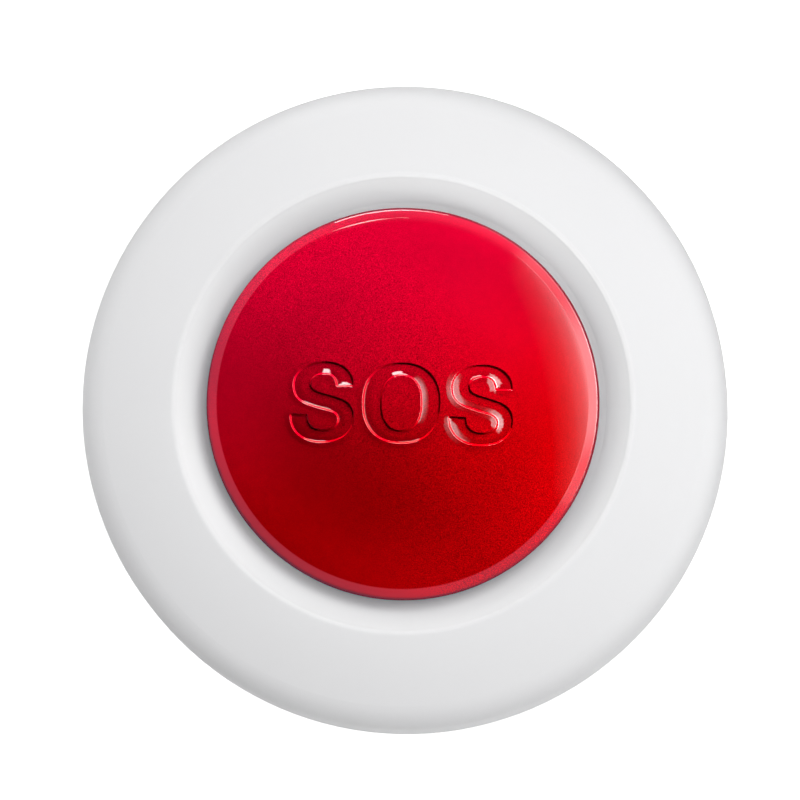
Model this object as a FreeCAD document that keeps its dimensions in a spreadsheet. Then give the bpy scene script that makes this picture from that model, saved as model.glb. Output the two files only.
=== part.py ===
import FreeCAD, Part
import math
import os
import re
import Sketcher

# Wireless panic button: a round wall unit with a large domed push cap in a dished bezel.
# It lies flat on its back: +Z points out through the dome, +Y is up when it hangs on a wall.
# The origin is the centre of the mounting base's back face. All sizes are in millimetres.

Vector = FreeCAD.Vector

# One row for each size that can be set by itself: alias, value, meaning
SIZES = [
    # Mounting base, fixed to the wall, and the foot of the housing round it
    ("HousingRadius", 40.0, "largest radius of the front housing"),
    ("HousingWall", 2.0, "wall of the front housing"),
    ("FootGap", 0.5, "gap between the wall and the housing's foot"),
    ("FootBevel", 0.4, "bevel round the foot"),
    ("BaseThickness", 2.0, "plate of the mounting base"),
    ("BaseRimGap", 0.4, "gap from the base plate's rim to the housing"),
    ("BaseWall", 1.5, "upstand of the base that carries the bayonet lugs"),
    ("BaseWallHeight", 3.0, "height of the upstand above the plate"),
    ("LugReach", 1.1, "how far a bayonet lug stands out of the upstand"),
    ("LugThickness", 1.2, "thickness of a lug and of a ledge"),
    ("LugHalfAngle", 5.0, "half the angle that a lug spans, degrees"),
    ("LedgeHalfAngle", 7.0, "half the angle that a ledge spans, degrees"),
    ("BayonetPlay", 0.2, "play above and below a ledge"),
    ("BayonetRadialGap", 0.3, "gap between ledge and upstand"),
    ("StopGap", 0.5, "turn left between a lug and its stop, degrees"),
    ("TwistAngle", 15.0, "turn that frees the housing from the base, degrees"),
    ("ScrewSpacing", 50.0, "distance between the two wall screw holes"),
    ("ScrewHoleRadius", 2.1, "wall screw hole"),
    ("ScrewBossRadius", 5.5, "thickened pad round a wall screw hole"),
    ("ScrewBossHeight", 1.2, "height of that pad above the plate"),
    ("CountersinkDepth", 1.8, "countersink for the wall screw's head"),
    # Coin cell under the circuit board
    ("CellRadius", 10.0, "coin cell"),
    ("CellThickness", 3.2, "coin cell"),
    ("CellRimWidth", 1.1, "crimped rim of the coin cell"),
    ("CellStep", 0.4, "face of the coin cell above its rim"),
    ("CellFloorGap", 1.2, "gap from the base plate to the cell"),
    ("ContactGap", 0.6, "space for the sprung contact above the cell"),
    ("HolderPlay", 0.3, "radial play of the cell in its holder"),
    ("HolderWall", 1.3, "wall of the cell holder"),
    ("HolderLip", 0.8, "how far the holder's lips reach under the cell"),
    ("HolderLipThickness", 0.5, "foot of the holder below the cell"),
    ("LipPlay", 0.1, "gap between the lips and the cell"),
    ("HolderMouthAngle", 70.0, "open sector through which the cell is pushed out, degrees"),
    ("LeafThickness", 0.25, "sheet of the battery contacts"),
    ("ContactWidth", 5.0, "width of the battery contacts"),
    ("ContactTouch", 0.05, "gap between a contact and the cell"),
    # Circuit board and what fixes it
    ("BoardRimGap", 1.8, "gap from the circuit board's rim to the base's upstand"),
    ("BoardThickness", 1.6, "circuit board"),
    ("BoardFloorGap", 1.2, "gap from the board to the well floor"),
    ("BossRadius", 2.6, "screw boss of the housing"),
    ("BoardScrewRadius", 1.0, "shank of a board screw"),
    ("BoardScrewLength", 5.0, "shank of a board screw"),
    ("BoardScrewHeadRadius", 1.9, "head of a board screw"),
    ("BoardScrewHeadHeight", 1.4, "head of a board screw"),
    ("ScrewHeadBevel", 0.55, "slope round the top of that head"),
    ("BoardHolePlay", 0.2, "radial play of a screw in the board"),
    # Push switch
    ("SwitchWidth", 6.0, "square body of the push switch"),
    ("SwitchBodyHeight", 3.2, "plastic body of the push switch"),
    ("SwitchPlateThickness", 0.3, "steel cover of the push switch"),
    ("SwitchPlungerRadius", 1.75, "plunger of the push switch"),
    ("SwitchPlungerProud", 1.3, "plunger above the steel cover at rest"),
    ("SwitchPlungerPlay", 0.1, "radial play of that plunger"),
    ("SwitchPlungerDepth", 0.9, "plunger inside the body at rest"),
    # Well and guide tube of the housing
    ("FloorThickness", 1.4, "floor of the well"),
    ("FloorClearance", 0.6, "gap left under the skirt with the cap pressed"),
    ("WellGap", 0.5, "gap between skirt and well"),
    ("GuidePlay", 0.06, "radial running fit of the post in its tube"),
    ("GuideWall", 2.3, "wall of the guide tube"),
    ("GuideTopGap", 0.6, "gap left above the guide tube with the cap pressed"),
    ("SwitchRoom", 0.7, "gap between the switch's corners and the housing"),
    ("ShoulderGap", 0.5, "gap from the switch to the guide tube's shoulder"),
    ("PressTravel", 0.8, "travel of the push cap"),
    # Bezel ring and dish
    ("RimClearance", 0.6, "gap left under the cap's rim with the cap pressed"),
    ("LipRise", 0.6, "height of the curved foot of the dish"),
    ("DishFootWidth", 1.45, "width of the dish's curved foot, out from the well"),
    ("DishDepth", 2.5, "height of the dish's slope"),
    ("CrestRadius", 27.8, "radius of the crest round the dish"),
    ("CrestRound", 0.6, "rounding of the crest"),
    ("DishFootArc", 3.2, "concave foot of the dish"),
    ("LipRound", 0.3, "rounding of the well's lip"),
    ("RingSlope", 11.0, "slope of the ring where it leaves the crest, degrees"),
    ("RingArc", 42.0, "radius of the ring's gentle crown"),
    ("CornerArc", 4.8, "radius of the outer corner"),
    ("SideLean", 0.45, "how far the side wall leans in up to the corner"),
    ("RibThickness", 1.0, "stiffening rib under the ring"),
    ("RibRise", 4.0, "foot of the ribs above the circuit board"),
    # Push cap
    ("SkirtRadius", 22.75, "skirt of the cap"),
    ("SkirtWall", 1.6, "wall of the skirt"),
    ("SkirtDrop", 3.7, "skirt below the cap's rim"),
    ("CapOverhang", 1.1, "how far the cap's rim stands out over its skirt"),
    ("CapLand", 0.8, "upright band round the cap's rim"),
    ("CapCornerArc", 1.2, "rounding between band and dome"),
    ("DomeArc", 50.7, "spherical radius of the dome"),
    ("CapShell", 2.0, "wall of the dome"),
    ("ShoulderWidth", 0.8, "shoulder inside the cap that the carrier seats on"),
    ("ShoulderRise", 0.6, "that shoulder above the cap's rim"),
    # Carrier inside the cap
    ("CarrierPlate", 1.6, "plate of the carrier"),
    ("CarrierRimGap", 0.2, "gap round the carrier's plate"),
    ("PostRadius", 3.0, "central post"),
    ("HubRadius", 9.4, "hub over the return spring"),
    ("HubWall", 1.4, "wall of the hub"),
    ("HubRise", 3.1, "hub above the carrier's plate"),
    ("HookInset", 0.6, "gap from the cap's skirt to a snap hook"),
    ("HookThickness", 1.4, "arm of a snap hook"),
    ("HookWidth", 6.0, "width of a snap hook"),
    ("HookReach", 1.1, "barb of a snap hook"),
    ("HookHeight", 1.5, "height of the barb"),
    ("HookSeat", 0.05, "gap between barb and floor at rest"),
    ("HookWindowPlay", 0.4, "room round a hook in its window"),
    ("LightWindowWidth", 5.0, "width of the light windows in the carrier"),
    # Return spring
    ("SpringRadius", 6.6, "mean radius of the return spring"),
    ("SpringWire", 0.35, "radius of its wire"),
    ("SpringTurns", 3.0, "turns of the return spring"),
    # Parts on the circuit board
    ("LedCircle", 14.0, "radius of the circle of light emitting diodes"),
    ("LedWidth", 3.5, "light emitting diode"),
    ("LedDepth", 2.8, "light emitting diode"),
    ("LedHeight", 1.3, "base of a light emitting diode"),
    ("LedLensRadius", 1.2, "lens of a light emitting diode"),
    ("LedRoom", 0.7, "gap round a diode in the well floor"),
    ("RadioWidth", 12.0, "radio module"),
    ("RadioLength", 14.0, "radio module"),
    ("RadioBoardThickness", 0.8, "circuit board of the radio module"),
    ("RadioShieldHeight", 1.8, "shield can of the radio module"),
    ("RadioMargin", 1.0, "board left bare round the shield can"),
    ("ChipCircle", 13.0, "radius at which the microcontroller and the crystal sit"),
    ("ChipWidth", 6.0, "microcontroller"),
    ("ChipHeight", 0.8, "microcontroller"),
    ("CrystalLength", 3.2, "crystal can"),
    ("CrystalWidth", 2.5, "crystal can"),
    ("CrystalHeight", 0.7, "crystal can"),
    ("CapacitorRoom", 1.4, "gap from the storage capacitor to the well and to the board's rim"),
    ("CapacitorHeight", 5.2, "storage capacitor"),
    ("CapacitorGroove", 1.1, "groove round the capacitor, above the board"),
    ("CapacitorGrooveHalf", 0.4, "half the width of that groove"),
    ("CapacitorGrooveDepth", 0.25, "depth of that groove"),
    ("AntennaWire", 0.5, "radius of the antenna wire"),
    ("AntennaRise", 2.6, "antenna above the board"),
    ("AntennaSpan", 84.0, "angle that the antenna spans, degrees"),
    ("TamperWidth", 5.0, "tamper switch body"),
    ("TamperHeight", 2.6, "tamper switch body"),
    ("TamperButtonRadius", 1.2, "button of the tamper switch"),
    ("TamperButtonHeight", 0.9, "button of the tamper switch, held down by the base"),
    ("TamperPlay", 0.1, "gap between that button and the base's pad"),
    ("TamperPadWidth", 4.0, "pad of the base that holds the button down"),
    ("TamperPadMargin", 6.0, "angle of pad beyond the button at each end, degrees"),
]

# Levels and radii that follow from the sizes above, each stacked on what carries it
DERIVED = [
    ("BaseRadius", "HousingRadius - HousingWall - BaseRimGap"),
    ("LedgeBottom", "BaseThickness + BayonetPlay"),
    ("LedgeTop", "LedgeBottom + LugThickness"),
    ("LugBottom", "LedgeTop + BayonetPlay"),
    ("LugTop", "LugBottom + LugThickness"),
    ("LedgeRadius", "HousingRadius - HousingWall - LugReach - BayonetRadialGap"),
    ("UpstandRadius", "LedgeRadius - BayonetRadialGap"),
    ("CellBottom", "BaseThickness + CellFloorGap"),
    ("CellTop", "CellBottom + CellThickness"),
    ("BoardBottom", "CellTop + ContactGap"),
    ("BoardTop", "BoardBottom + BoardThickness"),
    ("FloorBottom", "BoardTop + BoardFloorGap"),
    ("FloorTop", "FloorBottom + FloorThickness"),
    ("SkirtBottom", "FloorTop + PressTravel + FloorClearance"),
    ("RimBottom", "SkirtBottom + SkirtDrop"),
    ("LipTop", "RimBottom - PressTravel - RimClearance"),
    ("ToeTop", "LipTop + LipRise"),
    ("CrestTop", "ToeTop + DishDepth"),
    ("RingCentreRadius", "CrestRadius - RingArc * sin(RingSlope)"),
    ("RingCentreTop", "CrestTop - RingArc * cos(RingSlope)"),
    ("SideRadius", "HousingRadius - SideLean"),
    ("CornerOut", "SideRadius - CornerArc - RingCentreRadius"),
    ("CornerUp", "sqrt((RingArc - CornerArc) ^ 2 - CornerOut ^ 2)"),
    ("CornerStretch", "1 / (RingArc - CornerArc)"),
    ("SideTop", "RingCentreTop + CornerUp"),
    ("CrestUnderRadius", "CrestRadius + HousingWall / 2"),
    ("BossOut", "LaneCircle + BossRadius - RingCentreRadius"),
    ("BossTop", "RingCentreTop + sqrt((RingArc - HousingWall / 2) ^ 2 - BossOut ^ 2)"),
    ("WellRadius", "SkirtRadius + WellGap"),
    ("WellOuterRadius", "WellRadius + HousingWall"),
    ("DishToeRadius", "WellRadius + DishFootWidth"),
    ("BoardRadius", "UpstandRadius - BaseWall - BoardRimGap"),
    ("LaneCircle", "(WellOuterRadius + BoardRadius) / 2"),
    ("CapacitorRadius", "(BoardRadius - WellOuterRadius) / 2 - CapacitorRoom"),
    ("CapRadius", "SkirtRadius + CapOverhang"),
    ("LandTop", "RimBottom + CapLand"),
    ("CapCornerRadius", "CapRadius - CapCornerArc"),
    ("CapCornerUp", "sqrt((DomeArc - CapCornerArc) ^ 2 - CapCornerRadius ^ 2)"),
    ("DomeCentre", "LandTop - CapCornerUp"),
    ("DomeEdgeRadius", "CapCornerRadius * DomeArc / (DomeArc - CapCornerArc)"),
    ("DomeEdgeTop", "DomeCentre + CapCornerUp * DomeArc / (DomeArc - CapCornerArc)"),
    ("DomeTop", "DomeCentre + DomeArc"),
    ("ShoulderTop", "RimBottom + ShoulderRise"),
    ("SkirtInnerRadius", "SkirtRadius - SkirtWall"),
    ("ShoulderRadius", "SkirtInnerRadius - ShoulderWidth"),
    ("SwitchTop", "BoardTop + SwitchBodyHeight + SwitchPlateThickness"),
    ("PostBottom", "SwitchTop + SwitchPlungerProud"),
    ("GuideBore", "PostRadius + GuidePlay"),
    ("GuideRadius", "GuideBore + GuideWall"),
    ("HubTop", "ShoulderTop + HubRise"),
    ("HubCeiling", "HubTop - HubWall"),
    ("PlateBottom", "ShoulderTop - CarrierPlate"),
    ("GuideTop", "HubCeiling - PressTravel - GuideTopGap"),
    ("HookRadius", "SkirtInnerRadius - HookInset"),
    ("BarbTop", "FloorBottom - HookSeat"),
    ("HolderRadius", "CellRadius + HolderPlay"),
    ("RadioCircle", "(HolderRadius + HolderWall + BoardRadius) / 2"),
    ("TamperPadTop", "BoardBottom - TamperHeight - TamperButtonHeight - TamperPlay"),
]

# Directions round the Z axis, in degrees, and how many there are of what repeats
HOOK_ANGLE = 90.0
BOSS_ANGLES = (30.0, 150.0, 270.0)
BOSS_X = f"LaneCircle * cos({BOSS_ANGLES[0]})"
BOSS_Y = f"LaneCircle * sin({BOSS_ANGLES[0]})"
HOOK_COUNT = 3
LUG_ANGLE = 60.0
LUG_COUNT = 3
RIB_COUNT = 6
WALL_SCREW_COUNT = 2
LED_ANGLES = (30.0, 150.0, 270.0)
TAMPER_ANGLE = 300.0
LIP_ANGLES = ("50", "70")
LIP_COUNT = 3
STRAP_COUNT = 2
RADIO_ANGLE = 176.0
CHIP_ANGLE = 350.0
CRYSTAL_ANGLE = 322.0
CAPACITOR_ANGLE = 190.0
ANTENNA_ANGLE = 52.0

doc = FreeCAD.newDocument("PanicButton")
sheet = doc.addObject("Spreadsheet::Sheet", "Sizes")


def fill_sheet():
    """Write the driving sizes, then the levels worked out from them, into the spreadsheet."""
    row = 1
    for alias, number, meaning in SIZES:
        sheet.set(f"A{row}", meaning)
        sheet.set(f"B{row}", str(number))
        sheet.setAlias(f"B{row}", alias)
        row += 1
    for alias, formula in DERIVED:
        sheet.set(f"A{row}", formula)
        sheet.set(f"B{row}", "=" + formula)
        sheet.setAlias(f"B{row}", alias)
        row += 1
    doc.recompute()


def linked(formula):
    """The formula with each size written as a reference to the spreadsheet."""
    return re.sub(r"\b[A-Z][A-Za-z]+", r"Sizes.\g<0>", formula)


def value(formula):
    """The number that a formula gives now."""
    return float(sheet.evalExpression(linked(formula)))


def new_body(label, angle="0", radius="0", level="0"):
    """A sub-part's body, turned about Z by an angle and moved out and up."""
    body = doc.addObject("PartDesign::Body", label)
    body.Label = label
    body.setExpression("Placement.Base.x", linked(f"({radius}) * cos({angle})"))
    body.setExpression("Placement.Base.y", linked(f"({radius}) * sin({angle})"))
    body.setExpression("Placement.Base.z", linked(level))
    body.Placement.Rotation = FreeCAD.Rotation(Vector(0, 0, 1), float(angle))
    return body


def new_sketch(body, plane, name, level="0"):
    """A sketch on one of the body's own origin planes, lifted along its normal."""
    sketch = body.newObject("Sketcher::SketchObject", name)
    origin_plane = next(f for f in body.Origin.OriginFeatures if f.Role == plane)
    sketch.AttachmentSupport = [(origin_plane, "")]
    sketch.MapMode = "FlatFace"
    sketch.setExpression("AttachmentOffset.Base.z", linked(level))
    return sketch


def bind(sketch, constraint, formula):
    """Add a constraint whose value follows a formula."""
    index = sketch.addConstraint(constraint)
    sketch.setExpression(f"Constraints[{index}]", linked(formula))


def pin_point(sketch, curve, end, x, y):
    """Hold a curve's point at a place given by two formulas."""
    if x == "0":
        sketch.addConstraint(Sketcher.Constraint("PointOnObject", curve, end, -2))
    else:
        bind(sketch, Sketcher.Constraint("DistanceX", -1, 1, curve, end, value(x)), x)
    if y == "0":
        sketch.addConstraint(Sketcher.Constraint("PointOnObject", curve, end, -1))
    else:
        bind(sketch, Sketcher.Constraint("DistanceY", -1, 1, curve, end, value(y)), y)


def arc_between(start, end, radius, left):
    """A circular arc through two points; left says whether it turns left on its way."""
    chord = end - start
    reach = math.sqrt(max(radius ** 2 - (chord.Length / 2) ** 2, 0.0))
    across = Vector(-chord.y, chord.x, 0).normalize()
    centre = (start + end) / 2 + across * (reach if left else -reach)
    first, last = (start, end) if left else (end, start)
    first_angle = math.atan2(first.y - centre.y, first.x - centre.x)
    last_angle = math.atan2(last.y - centre.y, last.x - centre.x)
    circle = Part.Circle(centre, Vector(0, 0, 1), radius)
    return Part.ArcOfCircle(circle, first_angle, last_angle)


def outline(sketch, corners):
    """A closed outline. A corner is (x, y), or (x, y, radius, left) when an arc leads to it."""
    ends = []
    places = [Vector(value(c[0]), value(c[1]), 0) for c in corners]
    for i, corner in enumerate(corners):
        before, here = places[i - 1], places[i]
        if len(corner) == 2:
            curve = sketch.addGeometry(Part.LineSegment(before, here))
            ends.append((curve, 1, 2))
        else:
            radius, left = corner[2], corner[3]
            curve = sketch.addGeometry(arc_between(before, here, value(radius), left))
            ends.append((curve, 1, 2) if left else (curve, 2, 1))
    for i, corner in enumerate(corners):
        curve, start, end = ends[i]
        before_curve, before_end = ends[i - 1][0], ends[i - 1][2]
        sketch.addConstraint(Sketcher.Constraint("Coincident", before_curve, before_end, curve, start))
        pin_point(sketch, curve, end, corner[0], corner[1])
        if len(corner) > 2:
            bind(sketch, Sketcher.Constraint("Radius", curve, value(corner[2])), corner[2])


def circle_at(sketch, x, y, radius):
    """A circle with its centre and radius given by formulas."""
    curve = sketch.addGeometry(Part.Circle(Vector(value(x), value(y), 0), Vector(0, 0, 1), value(radius)))
    pin_point(sketch, curve, 3, x, y)
    bind(sketch, Sketcher.Constraint("Radius", curve, value(radius)), radius)


def rectangle(sketch, low_x, high_x, half_y):
    """A rectangle from low_x to high_x, the same distance each side of the X axis."""
    outline(sketch, [
        (low_x, f"-({half_y})"),
        (high_x, f"-({half_y})"),
        (high_x, half_y),
        (low_x, half_y),
    ])


def sector(sketch, inner, outer, low_angle, high_angle):
    """A piece of a ring between two radii and two angles."""
    outline(sketch, [
        (f"({inner}) * cos({low_angle})", f"({inner}) * sin({low_angle})", inner, False),
        (f"({outer}) * cos({low_angle})", f"({outer}) * sin({low_angle})"),
        (f"({outer}) * cos({high_angle})", f"({outer}) * sin({high_angle})", outer, True),
        (f"({inner}) * cos({high_angle})", f"({inner}) * sin({high_angle})"),
    ])


def revolved(body, name, corners):
    """A profile in the XZ plane, turned a full circle about Z."""
    sketch = new_sketch(body, "XZ_Plane", name + "_profile")
    outline(sketch, corners)
    feature = body.newObject("PartDesign::Revolution", name)
    feature.Profile = sketch
    feature.ReferenceAxis = (sketch, ["V_Axis"])
    feature.Angle = 360
    return feature


def padded(body, name, sketch, length, both_ways=False):
    """The sketch raised along its normal, or half each way."""
    feature = body.newObject("PartDesign::Pad", name)
    feature.Profile = sketch
    feature.setExpression("Length", linked(length))
    feature.Midplane = both_ways
    return feature


def pocketed(body, name, sketch, depth):
    """The sketch sunk against its normal."""
    feature = body.newObject("PartDesign::Pocket", name)
    feature.Profile = sketch
    feature.setExpression("Length", linked(depth))
    return feature


def repeated(body, feature, count):
    """A feature copied round the Z axis."""
    pattern = body.newObject("PartDesign::PolarPattern", feature.Name + "_ring")
    pattern.Originals = [feature]
    axis = next(f for f in body.Origin.OriginFeatures if f.Role == "Z_Axis")
    pattern.Axis = (axis, [""])
    pattern.Angle = 360
    pattern.Occurrences = count
    body.Tip = pattern
    return pattern


def rounded_circles(body, name, kind, size, circles):
    """Fillet or chamfer the circular edges that have these radii and levels."""
    doc.recompute()
    base = body.Tip
    wanted = [(value(radius), value(level)) for radius, level in circles]
    names = []
    for i, edge in enumerate(base.Shape.Edges, start=1):
        if not isinstance(edge.Curve, Part.Circle):
            continue
        for radius, level in wanted:
            if abs(edge.Curve.Radius - radius) < 1e-4 and abs(edge.Curve.Center.z - level) < 1e-4:
                names.append(f"Edge{i}")
    feature = body.newObject("PartDesign::" + kind, name)
    feature.Base = (base, names)
    feature.setExpression("Radius" if kind == "Fillet" else "Size", linked(size))
    return feature


def block(body, name, low_x, high_x, half_y, height, level="0"):
    """A rectangular block standing on a level."""
    sketch = new_sketch(body, "XY_Plane", name + "_outline", level)
    rectangle(sketch, low_x, high_x, half_y)
    return padded(body, name, sketch, height)


def disc(body, name, radius, height, level="0", x="0", y="0"):
    """A round boss standing on a level."""
    sketch = new_sketch(body, "XY_Plane", name + "_outline", level)
    circle_at(sketch, x, y, radius)
    return padded(body, name, sketch, height)


def ring_edge(depth):
    """Where the ring's crown meets the outer corner, at a depth inside the outer surface."""
    stretch = f"(RingArc - {depth}) * CornerStretch"
    return (f"RingCentreRadius + CornerOut * {stretch}", f"RingCentreTop + CornerUp * {stretch}")


def crest_under(depth):
    """A point under the crest, at a depth inside the ring's crown."""
    level = f"sqrt((RingArc - {depth}) ^ 2 - (CrestUnderRadius - RingCentreRadius) ^ 2)"
    return ("CrestUnderRadius", f"RingCentreTop + {level}")


def front_housing():
    """The visible white shell: side wall, crowned ring, dish, well, well floor and guide tube."""
    body = new_body("front_housing")
    inner = "HousingRadius - HousingWall"
    revolved(body, "shell", [
        ("HousingRadius - FootBevel", "FootGap"),
        ("HousingRadius", "FootGap + FootBevel"),
        ("SideRadius", "SideTop"),
        ring_edge("0") + ("CornerArc", True),
        ("CrestRadius", "CrestTop", "RingArc", True),
        ("DishToeRadius", "ToeTop"),
        ("WellRadius", "LipTop", "DishFootArc", False),
        ("WellRadius", "FloorTop"),
        ("GuideRadius", "FloorTop"),
        ("GuideRadius", "GuideTop"),
        ("GuideBore", "GuideTop"),
        ("GuideBore", "SwitchTop + ShoulderGap"),
        ("SwitchWidth / 2 * sqrt(2) + SwitchRoom", "SwitchTop + ShoulderGap"),
        ("SwitchWidth / 2 * sqrt(2) + SwitchRoom", "FloorBottom"),
        ("WellOuterRadius", "FloorBottom"),
        ("WellOuterRadius", "LipTop - HousingWall / 2"),
        crest_under("HousingWall"),
        ring_edge("HousingWall") + ("RingArc - HousingWall", False),
        ("SideRadius - HousingWall", "SideTop", "CornerArc - HousingWall", False),
        (inner, "LugTop + HousingWall"),
        (inner, "FootGap"),
    ])
    boss = disc(body, "screw_boss", "BossRadius", "BossTop - BoardTop", "BoardTop", BOSS_X, BOSS_Y)
    repeated(body, boss, len(BOSS_ANGLES))
    pilot_sketch = new_sketch(body, "XY_Plane", "pilot_outline", "BoardTop + BoardScrewLength")
    circle_at(pilot_sketch, BOSS_X, BOSS_Y, "BoardScrewRadius")
    pilot = pocketed(body, "pilot", pilot_sketch, "BoardScrewLength")
    repeated(body, pilot, len(BOSS_ANGLES))
    window_sketch = new_sketch(body, "XY_Plane", "hook_window_outline", "FloorTop")
    turned_rectangle(window_sketch, "HookRadius - HookThickness - HookWindowPlay",
                     "HookRadius + HookWindowPlay", "HookWidth / 2 + HookWindowPlay", HOOK_ANGLE)
    window = pocketed(body, "hook_window", window_sketch, "FloorThickness")
    repeated(body, window, HOOK_COUNT)
    light_sketch = new_sketch(body, "XY_Plane", "light_hole_outline", "FloorTop")
    circle_at(light_sketch, f"LedCircle * cos({LED_ANGLES[0]})", f"LedCircle * sin({LED_ANGLES[0]})",
              "LedWidth / 2 + LedRoom")
    light_hole = pocketed(body, "light_hole", light_sketch, "FloorThickness")
    repeated(body, light_hole, len(LED_ANGLES))
    ledge_sketch = new_sketch(body, "XY_Plane", "ledge_outline", "LedgeBottom")
    sector(ledge_sketch, "LedgeRadius", inner + " + HousingWall / 2",
           f"{LUG_ANGLE} - LedgeHalfAngle", f"{LUG_ANGLE} + LedgeHalfAngle")
    ledge = padded(body, "ledge", ledge_sketch, "LugThickness")
    repeated(body, ledge, LUG_COUNT)
    stop_sketch = new_sketch(body, "XY_Plane", "stop_outline", "LedgeTop")
    sector(stop_sketch, "LedgeRadius", inner + " + HousingWall / 2",
           f"{LUG_ANGLE} + LugHalfAngle + StopGap", f"{LUG_ANGLE} + LedgeHalfAngle")
    stop = padded(body, "stop", stop_sketch, "BayonetPlay + LugThickness")
    repeated(body, stop, LUG_COUNT)
    rib_sketch = new_sketch(body, "XZ_Plane", "rib_profile")
    outline(rib_sketch, [
        ("WellOuterRadius - HousingWall / 2", "BoardTop + RibRise"),
        ("SideRadius - HousingWall / 2", "BoardTop + RibRise"),
        ring_edge("HousingWall / 2"),
        crest_under("HousingWall / 2"),
        ("WellOuterRadius - HousingWall / 2", "LipTop - HousingWall / 2"),
    ])
    rib = padded(body, "rib", rib_sketch, "RibThickness", both_ways=True)
    repeated(body, rib, RIB_COUNT)
    rounded_circles(body, "crest_round", "Fillet", "CrestRound", [("CrestRadius", "CrestTop")])
    rounded_circles(body, "lip_round", "Fillet", "LipRound", [("WellRadius", "LipTop")])
    return body


def turned_rectangle(sketch, near, far, half_width, angle):
    """A rectangle whose long axis points out from the centre at an angle."""
    corners = []
    for along, across in ((near, -1), (far, -1), (far, 1), (near, 1)):
        corners.append((
            f"({along}) * cos({angle}) - {across} * ({half_width}) * sin({angle})",
            f"({along}) * sin({angle}) + {across} * ({half_width}) * cos({angle})",
        ))
    outline(sketch, corners)


def mounting_base():
    """The plate that is screwed to the wall, with its upstand and bayonet lugs."""
    body = new_body("mounting_base")
    revolved(body, "plate", [
        ("0", "0"),
        ("BaseRadius - FootBevel", "0"),
        ("BaseRadius", "FootBevel"),
        ("BaseRadius", "BaseThickness"),
        ("UpstandRadius", "BaseThickness"),
        ("UpstandRadius", "BaseThickness + BaseWallHeight"),
        ("UpstandRadius - BaseWall", "BaseThickness + BaseWallHeight"),
        ("UpstandRadius - BaseWall", "BaseThickness"),
        ("0", "BaseThickness"),
    ])
    lug_sketch = new_sketch(body, "XY_Plane", "lug_outline", "LugBottom")
    sector(lug_sketch, "UpstandRadius - BaseWall / 2", "UpstandRadius + LugReach",
           f"{LUG_ANGLE} - LugHalfAngle", f"{LUG_ANGLE} + LugHalfAngle")
    lug = padded(body, "lug", lug_sketch, "LugThickness")
    repeated(body, lug, LUG_COUNT)
    notch_sketch = new_sketch(body, "XY_Plane", "lug_notch_outline", "BaseThickness")
    sector(notch_sketch, "UpstandRadius", "BaseRadius + BaseRimGap",
           f"{LUG_ANGLE} - LugHalfAngle", f"{LUG_ANGLE} + LugHalfAngle")
    notch = pocketed(body, "lug_notch", notch_sketch, "BaseThickness")
    repeated(body, notch, LUG_COUNT)
    pad_sketch = new_sketch(body, "XY_Plane", "tamper_pad_outline", "BaseThickness")
    sector(pad_sketch, "LaneCircle - TamperPadWidth / 2", "LaneCircle + TamperPadWidth / 2",
           f"{TAMPER_ANGLE} - TamperPadMargin", f"{TAMPER_ANGLE} + TwistAngle + TamperPadMargin")
    padded(body, "tamper_pad", pad_sketch, "TamperPadTop - BaseThickness")
    boss_sketch = new_sketch(body, "XY_Plane", "wall_screw_boss_outline", "BaseThickness")
    circle_at(boss_sketch, "ScrewSpacing / 2", "0", "ScrewBossRadius")
    boss = padded(body, "wall_screw_boss", boss_sketch, "ScrewBossHeight")
    repeated(body, boss, WALL_SCREW_COUNT)
    hole_sketch = new_sketch(body, "XY_Plane", "wall_screw_hole_outline", "BaseThickness + ScrewBossHeight")
    circle_at(hole_sketch, "ScrewSpacing / 2", "0", "ScrewHoleRadius")
    hole = pocketed(body, "wall_screw_hole", hole_sketch, "BaseThickness + ScrewBossHeight")
    repeated(body, hole, WALL_SCREW_COUNT)
    rounded_circles(body, "countersink", "Chamfer", "CountersinkDepth",
                    [("ScrewHoleRadius", "BaseThickness + ScrewBossHeight")])
    return body


def button_cap():
    """The domed lens: a thin shell with an overhanging rim and a skirt that runs in the well."""
    body = new_body("button_cap")
    inner_level = "DomeCentre + sqrt((DomeArc - CapShell) ^ 2 - ShoulderRadius ^ 2)"
    revolved(body, "lens", [
        ("0", "DomeTop - CapShell"),
        ("ShoulderRadius", inner_level, "DomeArc - CapShell", False),
        ("ShoulderRadius", "ShoulderTop"),
        ("SkirtInnerRadius", "ShoulderTop"),
        ("SkirtInnerRadius", "SkirtBottom"),
        ("SkirtRadius", "SkirtBottom"),
        ("SkirtRadius", "RimBottom"),
        ("CapRadius", "RimBottom"),
        ("CapRadius", "LandTop"),
        ("DomeEdgeRadius", "DomeEdgeTop", "CapCornerArc", True),
        ("0", "DomeTop", "DomeArc", True),
    ])
    return body


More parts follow.
